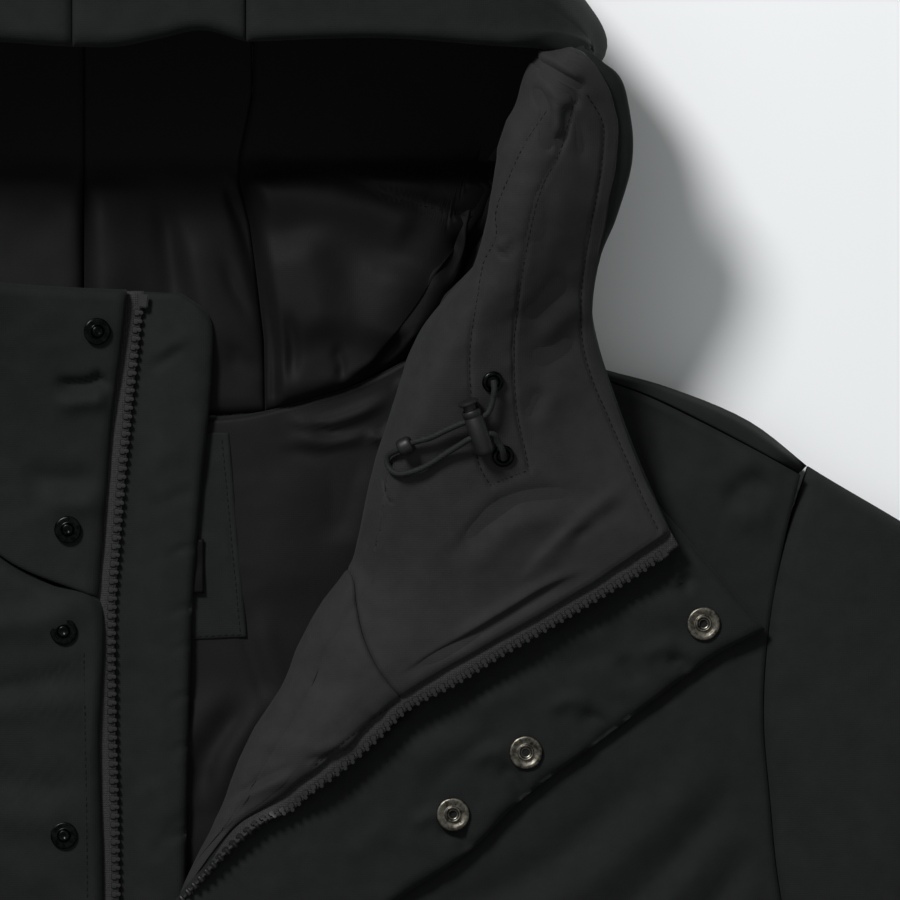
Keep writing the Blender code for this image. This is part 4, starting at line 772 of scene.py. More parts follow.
@dataclass
class Panel:
    """A sewn panel: its middle surface, its padding to each side, and its finish."""

    name: str
    grid: np.ndarray
    over: np.ndarray
    under: np.ndarray
    material: bpy.types.Material
    slot: Slot
    stands_for: tuple[str, ...]
    top: Relief = field(default_factory=Relief)
    back: Relief = field(default_factory=lambda: Relief(seed=11))
    floor: float | None = None
    hold: np.ndarray | float = 1.0

    def faces(self) -> tuple[np.ndarray, np.ndarray]:
        """The outer and the inner face, with their relief."""
        way = normals(self.grid)
        outer = self.grid + way * self.over[..., None]
        inner = self.grid - way * self.under[..., None]
        outer = self.top.lay(outer, way, self.hold)
        inner = self.back.lay(inner, -way, self.hold)
        if self.floor is not None:
            outer[..., 2] = np.maximum(outer[..., 2], self.floor)
            inner[..., 2] = np.maximum(inner[..., 2], self.floor)
        return outer, inner

    def build(self) -> bpy.types.Object:
        """Make the panel's object, riding on the jacket."""
        outer, inner = self.faces()
        return settle(wall(self.name, outer, inner, self.material), self.stands_for)


def settle(piece: bpy.types.Object, stands_for: Sequence[str] = (), body: str = JACKET) -> bpy.types.Object:
    """Ride a piece on its body and hide the nodes it stands for.

    Args:
        piece: the finished object.
        stands_for: CAD nodes that it replaces.
        body: the body it moves with.

    Returns:
        The same object.
    """
    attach(piece, body)
    if stands_for:
        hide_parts(*stands_for)
    LOG.info("%s: %d faces", piece.name, len(piece.data.polygons) if piece.type == "MESH" else 0)
    return piece


def padding(grid: np.ndarray, half: float, edges: dict[str, tuple[float, float]]) -> np.ndarray:
    """Half-thickness of a padded panel that rounds off at its edges.

    Args:
        grid: the panel's middle surface.
        half: half-thickness away from the edges.
        edges: for low, high, left or right: the rounding's reach and the share left at the edge.

    Returns:
        Rows by columns.
    """
    out = np.full(grid.shape[:2], half)
    places = {"low": (0, False), "high": (0, True), "left": (1, False), "right": (1, True)}
    for edge, (radius, least) in edges.items():
        axis, from_end = places[edge]
        out *= rounded(reach(grid, axis, from_end), radius, least)
    return out


def armhole_line() -> np.ndarray:
    """The armhole seam, armpit to shoulder."""
    return spline(ARMHOLE, 9)[::-1]


def side_line(rows: int) -> np.ndarray:
    """Right edge of a body panel, hem to shoulder."""
    side = even(np.asarray(SIDE_SEAM, float), rows - 8)[::-1]
    return np.vstack([side, armhole_line()[1:]])


def spread(line: np.ndarray, shares: Sequence[float]) -> np.ndarray:
    """Points at the given shares of a line's length."""
    dense = even(np.asarray(line, float), 201)
    return dense[[round(200 * s) for s in shares]]


FRONT_COLUMNS = (0.0, 0.05, 0.12, 0.24, 0.38, 0.53, 0.69, 0.85, 1.0)


def front_grid(left: np.ndarray, z: float) -> np.ndarray:
    """Control grid of a front between its centre line and its side.

    Args:
        left: points of its front edge and neckline, hem to shoulder.
        z: height of its middle surface.

    Returns:
        Rows by columns by coordinates.
    """
    right = side_line(len(left)) - (SEAM_GAP / 2, 0)
    hem = spread(np.array([left[0, :2], right[0]]), FRONT_COLUMNS)
    seam = [(s[2], s[3] - 0.5) for s in SHOULDER]
    top = spread(spline(seam, 40), FRONT_COLUMNS)
    top[0], top[-1] = left[-1, :2], right[-1]
    flat = coons(hem, top, left[:, :2], right)
    return np.concatenate([flat, np.full(flat.shape[:2] + (1,), z)], axis=2)


def mirrored(grid: np.ndarray) -> np.ndarray:
    """The same grid on the other side of the jacket, with its columns reversed."""
    return (grid * (-1, 1, 1))[:, ::-1]


@dataclass
class Back:
    """The back panel with its shoulder rims, and the lining that the open neck shows."""

    finishes: Finishes
    rows: int = 40
    cols: int = 120

    def control(self) -> tuple[np.ndarray, np.ndarray]:
        """Control grids of the top and the underside."""
        half = SEAM_GAP / 2
        neck = np.array([(x, y - half - 1.6, 0.0) for x, y in NECKLINE])
        right = np.column_stack([side_line(15) - (half, 0), np.zeros(15)])
        right[-1] = (255.0 - half, 200.4, 0)
        seam = np.array([(s[2], s[3], 0.0) for s in SHOULDER])
        seam[-1] = (255.0 - half, 200.4, 0)
        contour = np.array([(s[0], s[1], 0.0) for s in SHOULDER])
        contour[-1] = (258.2, 203.6, 0)
        top = np.vstack([neck, seam])
        top = np.vstack([(top * (-1, 1, 1))[:0:-1], top])
        cols = len(top)
        share = np.arange(cols) / (cols - 1)
        hem_x = (-HEM_HALF + 2 * HEM_HALF * share) * 0.5 + top[:, 0] * 0.5 * HEM_HALF / 255.0
        hem_x[0], hem_x[-1] = -right[0, 0], right[0, 0]
        hem = np.column_stack([hem_x, np.full(cols, HEM_Y), np.zeros(cols)])
        grid = coons(hem, top, right * (-1, 1, 1), right)
        outer = np.vstack([neck + (0, 1.6, 0), contour])
        outer = np.vstack([(outer * (-1, 1, 1))[:0:-1], outer])
        middle = len(NECKLINE) + len(SHOULDER) - 1
        rim = np.abs(np.arange(cols) - middle) > len(NECKLINE)
        tops = [grid + (0, 0, BACK_TOP)]
        lows = [grid.copy()]
        for part, rim_top, rim_low in ((0.04, 25.6, 0.0), (0.55, 25.2, 0.0), (1.0, 15.5, 7.5)):
            base = grid[-1] * (1 - part) + outer * part
            tops.append((base + np.outer(np.where(rim, rim_top, BACK_TOP), (0, 0, 1)))[None])
            lows.append((base + np.outer(np.where(rim, rim_low, 0.0), (0, 0, 1)))[None])
        return np.vstack(tops), np.vstack(lows)

    def build(self) -> None:
        """Make the panel, its lining, the neck patch and the plain label."""
        top, low = self.control()
        body = refine(top[:-2], self.rows, self.cols)
        under = refine(low[:-2], self.rows, self.cols)
        rim = refine(top[-3:], 14, self.cols)
        rim_low = refine(low[-3:], 14, self.cols)
        outer, inner = np.vstack([body, rim[1:]]), np.vstack([under, rim_low[1:]])
        soft = (rounded(reach(outer, 0), 12.0, 0.25) * rounded(reach(outer, 1), 12.0, 0.3)
                * rounded(reach(outer, 1, True), 12.0, 0.3))
        outer[..., 2] = inner[..., 2] + (outer[..., 2] - inner[..., 2]) * soft
        folds = Relief(swell=0.25, crumple=0.1, seed=21)
        shown = np.clip((outer[..., 1] - 195) / 20, 0, 1) * soft
        outer = folds.lay(outer, np.broadcast_to(np.array((0, 0, 1.0)), outer.shape), shown)
        piece = settle(wall("back_panel_cloth", outer, inner, self.finishes.shell), ("back_panel",))
        self.lining()
        self.patch()

    def lining(self) -> None:
        """The lining on the back, with its long soft folds."""
        xs = (-60, -40, -20, 0, 20, 34, 46, 60, 72, 82, 90, 98, 106)
        known = {abs(x): y for x, y in NECKLINE}
        top = np.array([(x, (known.get(abs(x)) or 222.5 + (abs(x) / 34.0) ** 2 * 2.0) - 1.0, LINING_TOP) for x in xs])
        low = np.array([(-60 + 210 * (x + 60) / 166.0, -20.0, LINING_TOP) for x in xs])
        rows = 6
        share = np.linspace(0, 1, rows)[:, None]
        grid = coons(low, top, low[0] * (1 - share) + top[0] * share, low[-1] * (1 - share) + top[-1] * share)
        fine = refine(grid, 150, 104)
        relief = Relief(swell=0.7, swell_size=46.0, crumple=0.12, seed=31, folds=(
            Fold(((32, 150), (33, 134), (38, 118), (42, 104)), 4.0, -1.2, 0.3),
            Fold(((38, 150), (40, 130), (46, 112), (52, 100)), 6.0, 1.4),
            Fold(((36, 112), (24, 98), (16, 84), (14, 66)), 5.5, -2.6, -0.3),
            Fold(((44, 116), (34, 100), (24, 82), (22, 62)), 7.0, 2.6),
            Fold(((30, 118), (19, 106), (8, 88), (5, 60)), 8.0, 2.0),
            Fold(((62, 208), (52, 190), (48, 165), (52, 140)), 14.0, 1.6), Fold(((88, 206), (80, 188), (76, 160)), 9.0, 1.4),
            Fold(((74, 212), (72, 196), (68, 172)), 6.0, -1.0), Fold(((-30, 110), (0, 96), (4, 60)), 7.0, 1.6),
            # Crumpled strip below the neck seam, with its knot
            Fold(((46, 224), (60, 220), (76, 224), (92, 232)), 2.6, 2.4), Fold(((48, 217), (66, 213), (84, 218)), 3.2, 2.0, -0.3),
            Fold(((54, 221), (70, 217.6), (86, 223)), 1.4, -1.8), Fold(((44, 211), (62, 208), (82, 212)), 2.4, -1.2),
            Fold(((80, 217), (86, 214.6), (90, 217), (88, 221)), 1.8, 2.4), Fold(((82, 212), (88, 210), (94, 213)), 1.4, -1.6),
            Fold(((92, 237), (96, 234), (98, 230)), 2.0, 2.2), Fold(((86, 205), (92, 199), (96, 190)), 4.0, -1.6),
        ))
        hold = rounded(reach(fine, 0, True), 6.0, 0.0)
        outer = relief.lay(fine, np.broadcast_to(np.array((0, 0, 1.0)), fine.shape), hold)
        outer[..., 2] = np.maximum(outer[..., 2], BACK_TOP + SEAM_GAP + 0.6)
        inner = fine.copy()
        inner[..., 2] = outer[..., 2] - 0.5
        piece = settle(wall("back_lining_cloth", outer, inner, self.finishes.lining), ("back_lining",))

    def patch(self) -> None:
        """The cloth patch at the back neck and the plain label on it."""
        corners = np.array(((-32, 131.5), (32, 134.4), (24.8, 217.0), (-24.8, 217.0)), float)
        share = np.linspace(0, 1, 2)[:, None]
        a, b, c, d = corners
        flat = coons(np.array([a, b]), np.array([d, c]), a * (1 - share) + d * share, b * (1 - share) + c * share)
        grid = np.concatenate([flat, np.full((2, 2, 1), LINING_TOP + 1.3)], axis=2)
        fine = refine(grid, 90, 60)
        stitch_side, stitch_low = (22.8, 214), (30.2, 136.2)
        relief = Relief(swell=0.5, swell_size=24.0, crumple=0.12, seed=41, grooves=(
            Groove((stitch_side, stitch_low), 0.45, 1.0, 0.2), Groove((stitch_low, (-30, 133.4)), 0.45, 1.0, 0.2)),
            folds=(Fold(((10, 210), (14, 180), (16, 150)), 6, 0.5),))
        outer = relief.lay(fine, np.broadcast_to(np.array((0, 0, 1.0)), fine.shape))
        outer[..., 2] = np.maximum(outer[..., 2], LINING_TOP + 1.0)
        edge = rounded(np.minimum(reach(fine, 1, True), reach(fine, 0)), 1.2, 0.3)
        outer[..., 2] = LINING_TOP + 0.4 + (outer[..., 2] - LINING_TOP - 0.4) * edge
        inner = outer.copy()
        inner[..., 2] = np.minimum(outer[..., 2] - 0.3, LINING_TOP + 0.35)
        piece = settle(wall("neck_patch_cloth", outer, inner, self.finishes.shell), ("neck_patch",))
        rows, cols = 24, 30
        label = np.zeros((rows, cols, 3))
        label[..., 0] = np.linspace(-14.8, 14.8, cols)[None, :]
        label[..., 1] = np.linspace(152.4, 174.0, rows)[:, None]
        label[..., 2] = LINING_TOP + 3.5 + 0.25 * smooth_noise(label[..., 0], label[..., 1], 8.0, 5)
        below = label.copy()
        below[..., 2] -= 0.4
        tag = settle(wall("neck_label_cloth", label, below, self.finishes.label), ("neck_label",))


def hood_section(points: Sequence, neck: Sequence) -> np.ndarray:
    """Control points of a hood wall from its front edge to the neck seam, in three stretches."""
    line = spline([*points, neck], 240)

    def nearest(goal: Sequence) -> int:
        """Index of the line's point that is closest to a goal."""
        return int(np.argmin(np.linalg.norm(line - np.asarray(goal, float), axis=1)))

    at_top, at_side = nearest(points[1]), nearest(points[3])
    first = even(line[:at_top + 1], 5)
    second = even(line[at_top:at_side + 1], 7)
    third = even(line[at_side:], 5)
    return np.vstack([first, second[1:], third[1:]])


HOOD_COLS = 15


@dataclass
class Hood:
    """Centre and side panels of the hood, their lining, and the turned-out collar that the facing lies on."""

    finishes: Finishes
    fine_rows: int = 190
    fine_cols: int = 130
    other_cols: int = 96            # of the right side and the centre
    tip_row: int = 13              # of the control rows, at the top of the zip
    facing_top: float = 0.262       # share of the rows above the facing
    # How far the lining's left seam strays sideways: plan y and distance
    lining_seam: tuple = ((226, 5.2), (254, 4.8), (280, 1.6), (300, -1.2), (317, -5.2))
    left_wall: tuple | None = None

    def left_control(self) -> np.ndarray:
        """Control grid of the left side, crown to the lapel's neck seam; columns run edge to neck."""
        rows = [hood_section(points, neck) for points, neck in zip(HOOD_LEFT, HOOD_LEFT_NECK)]
        rows[0][:, 0] += SEAM_GAP / 2
        roll = np.array((LAPEL[-1][0], LAPEL[-1][1], 0)) + ROLL_OUT * (FRONT_THICK / 2 + ROLL_RADIUS)
        shift = ALONG_ROLL * 1.3
        arc = []
        for n in range(11):
            angle = math.pi * 0.94 * n / 10
            arc.append(roll + (0, 0, TURN_MID - ROLL_RADIUS) - ROLL_OUT * (ROLL_RADIUS * math.sin(angle))
                       + np.array((0, 0, ROLL_RADIUS * math.cos(angle))) + shift)
        goal = np.array((LAPEL[-1][2], LAPEL[-1][3], LAPEL_MID)) + shift
        lead = [goal + (arc[0] - goal) * k / 4 for k in range(5)]
        for k, p in enumerate(lead):
            p[2] = arc[0][2] + (goal[2] - arc[0][2]) * min(1.0, (1 - k / 4) * 1.6)
        rows.append(np.array(lead + arc[1:]))
        return np.array(rows)

    def build(self) -> None:
        """Make every piece of the hood."""
        self.left()
        self.right()
        self.centre()

    def left(self) -> None:
        """The left side panel, sunk a little where its facing lies, and its lining."""
        control = self.left_control()
        kink = np.clip(1 - np.arange(control.shape[1]) / 4, 0, 1)
        grid = refine(control, self.fine_rows, self.fine_cols, (self.tip_row, kink))
        near_neck = np.clip(1 - reach(grid, 0, True) / 30, 0, 1)
        half = padding(grid, HOOD_THICK / 2, {"right": (7.0, 0.4), "low": (7.0, 0.62)})
        half *= rounded(reach(grid, 1), 5.0, 0.08 + 0.34 * near_neck) * (1 + 0.245 * near_neck)
        top = Relief(swell=0.5, crumple=0.22, seed=51, folds=(
            Fold(((158, 371), (172, 366), (180, 357)), 1.6, -1.0),
            Fold(((160, 375), (170, 373), (178, 368)), 1.4, -0.9),
            Fold(((110, 390), (130, 384), (150, 378)), 5.0, 0.9),
            Fold(((60, 384), (80, 388), (110, 380)), 6.0, 0.8),
        ), grooves=(Groove(((36.5, 385), (36.5, 373)), 0.5, 1.2, 0.5, 4.0, 5.0, 2),))
        hold = np.clip(np.minimum(reach(grid, 0), 8) / 8, 0, 1)
        # The padding gives way a little under the facing, so that the facing's folds have room
        sunk = np.clip((reach(grid, 1) - 10) / 4, 0, 1) * 1.4
        sunk[:round(self.fine_rows * self.facing_top) + 6] = 0
        sunk[:, round(self.fine_cols * 0.7):] = 0
        # Every column near the edge that shows, and every other one behind it
        kept = np.r_[0:30, 30:self.fine_cols - 1:2, self.fine_cols - 1]
        panel = Panel("hood_left_cloth", grid[:, kept], (half - sunk)[:, kept], half[:, kept], self.finishes.shell,
                      Slot.SHELL, ("hood_side_left",), top=top, back=Relief(swell=0.3, crumple=0.1, seed=52),
                      floor=0.0, hold=hold[:, kept])
        panel.build()
        self.left_wall = (grid, half)
        from_top = np.arange(self.fine_rows) / (self.fine_rows - 1)
        last = round(self.fine_rows * 0.47)
        start = np.interp(from_top, (0.15, self.facing_top), (0.05, 0.66))[:last]
        self.lining_piece("hood_lining_left_cloth", grid[:last], start, "hood_lining_left", 71,
                          lift=11.0)

    def lining_piece(self, name: str, grid: np.ndarray, start: np.ndarray | float, node: str, seed: int,
                     turned: bool = False, lift: float = 3.0) -> None:
        """One lining piece, a little inside the padded wall.

        Args:
            name: the piece's name.
            grid: the wall's middle surface there.
            start: where it starts in each row, as a share of the wall's columns.
            node: the CAD node it stands for.
            seed: its unevenness.
            turned: true where the grid's normals point out of the hood.
            lift: how far its padding swells up below the stitched line.
        """
        way = normals(grid) * (-1 if turned else 1)
        run = reach(grid, 1)
        count = grid.shape[1]
        share = np.broadcast_to(start, (len(grid),))
        first = np.array([np.interp(s * (count - 1), np.arange(count), line) for s, line in zip(share, run)])
        sheet = stretch(grid + way * (HOOD_THICK / 2 + SEAM_GAP + 0.5), run, first, run[:, -1], count)
        way = stretch(way, run, first, run[:, -1], count)
        folds = (
            Fold(((30, 318), (54, 320), (70, 318), (94, 310), (124, 303)), 2.4, -3.0, 0.3, (0.05, 0.1)),
            Fold(((34, 326), (56, 328), (80, 322), (110, 314)), 7.0, 2.0, 0.0, (0.1, 0.2)),
            Fold(((38, 310), (56, 311), (80, 306), (106, 296)), 8.0, 4.0, -0.3, (0.1, 0.2)),
            Fold(((29, 318), (33, 300), (36, 280), (39, 254), (39, 226)), 3.2, -5.0, 0.0, (0.1, 0.05)),
            Fold(((52, 300), (58, 276), (62, 248)), 17.0, 5.5, -0.2),
            Fold(((96, 288), (90, 266), (84, 246)), 15.0, 4.5), Fold(((10, 306), (14, 276), (18, 240)), 11.0, 4.5, 0.3),
            Fold(((-30, 320), (-24, 290), (-20, 250)), 14.0, 5.0), Fold(((-2, 316), (2, 290), (4, 262)), 5.0, -2.4),
            Fold(((100, 256), (91, 249), (82, 240), (74, 236)), 3.6, -4.4, 0.3), Fold(((46, 266), (48, 250), (47, 236)), 3.2, -2.6),
            Fold(((112, 300), (116, 288), (110, 274)), 4.0, -3.4), Fold(((22, 286), (28, 270), (33, 262)), 2.6, -1.8),
            Fold(((20, 250), (30, 244), (37, 240)), 2.6, -2.0), Fold(((66, 252), (70, 242), (68, 236)), 2.6, -2.0),
        )
        relief = Relief(folds=folds, swell=0.9, swell_size=30.0, crumple=0.14, seed=seed)
        place = plan(sheet)
        hold = (rounded(reach(sheet, 1, True), 9.0, 0.0) * rounded(reach(sheet, 1), 36.0, 0.0)
                * rounded(reach(sheet, 0), 9.0, 0.0) * rounded(reach(sheet, 0, True), 9.0, 0.0)
                * np.clip((326 - place[..., 1]) / 10, 0.06, 1) * np.clip(way[..., 2], 0.0, 1.0))
        upper = relief.lay(sheet, way, hold, lambda rise: np.maximum(rise + lift, 0.0))
        lean = np.interp(place[..., 1], *zip(*self.lining_seam)) * np.clip((352 - place[..., 1]) / 25, 0, 1)
        lean = lean * np.clip(1 - np.abs(place[..., 0] - 34) / 45, 0, 1)
        upper[..., 0] += lean
        sheet[..., 0] += lean
        lower = sheet - way * 0.5
        piece = settle(wall(name, upper, lower, self.finishes.lining), (node,))

    def right(self) -> None:
        """The right side down to the chin, and its lining."""
        rows = []
        for points, neck in zip(HOOD_RIGHT, HOOD_RIGHT_NECK):
            lift = SEAM_GAP if neck[2] == FLOOR_MID else 0.0
            rows.append(hood_section(points, (neck[0], neck[1] + lift, neck[2])))
        rows[0][:, 0] -= SEAM_GAP / 2
        grid = refine(np.array(rows), 150, self.other_cols)
        half = padding(grid, HOOD_THICK / 2, {"left": (5.0, 0.08), "right": (2.0, 0.9), "low": (7.0, 0.62),
                                              "high": (5.0, 0.5)})
        chin = (Fold(((-24, 240), (-31, 236.5), (-46, 237)), 3.2, -4.0, 0.3, (0.05, 0.4)),
                Fold(((-24, 230), (-32, 230), (-46, 227)), 4.0, 3.0, 0.0, (0.05, 0.4)),
                Fold(((-24, 204), (-36, 198), (-60, 200)), 5.0, -2.2), Fold(((-24, 192), (-34, 188), (-50, 190)), 5.0, 2.2))
        panel = Panel("hood_right_cloth", grid, half, half, self.finishes.shell, Slot.SHELL, ("hood_side_right",),
                      top=Relief(swell=0.5, crumple=0.2, seed=55, folds=chin),
                      back=Relief(swell=0.5, crumple=0.2, seed=56, folds=chin),
                      floor=0.0, hold=np.clip(reach(grid, 0) / 8, 0, 1) * np.clip((330 - grid[..., 1]) / 30, 0.3, 1))
        panel.build()
        self.lining_piece("hood_lining_right_cloth", grid[:round(150 * 0.6)], 0.05, "hood_lining_right", 72,
                          turned=True)

    def centre(self) -> None:
        """The centre panel over the crown, and its lining."""
        section = hood_section(HOOD_LEFT[0], (34.0, 225.0 + SEAM_GAP / 2, FLOOR_MID))
        rows = []
        for x, wave in ((-34 + SEAM_GAP / 2, -2.0), (-17, -2.0), (0, 1.2), (17, 4.5), (34 - SEAM_GAP / 2, 0.0)):
            line = section.copy()
            line[:, 0] = x
            line[-1, 1] -= 2.0 * (1 - abs(x) / 34.0)
            line[:3, 1] += wave * np.array((1.0, 0.6, 0.25))
            rows.append(line)
        grid = refine(np.array(rows), 60, self.other_cols)
        half = padding(grid, HOOD_THICK / 2, {"left": (5.0, 0.08), "right": (7.0, 0.4), "low": (7.0, 0.62),
                                              "high": (7.0, 0.62)})
        panel = Panel("hood_centre_cloth", grid, half, half, self.finishes.shell, Slot.SHELL, ("hood_centre",),
                      top=Relief(swell=0.4, crumple=0.15, seed=57, folds=(
                          Fold(((31, 374), (29, 384), (31, 398)), 2.4, 1.6, 0.0, (0.3, 0.5)),
                          Fold(((25, 374), (23, 383), (20, 394)), 2.6, -2.0, 0.0, (0.3, 0.5)),
                          Fold(((17, 376), (14, 386), (11, 398)), 3.0, 1.4, 0.0, (0.3, 0.5)))),
                      back=Relief(swell=0.3, crumple=0.1, seed=58), floor=0.0)
        panel.build()
        self.lining_piece("hood_lining_centre_cloth", grid, 0.05, "hood_lining_centre", 73)


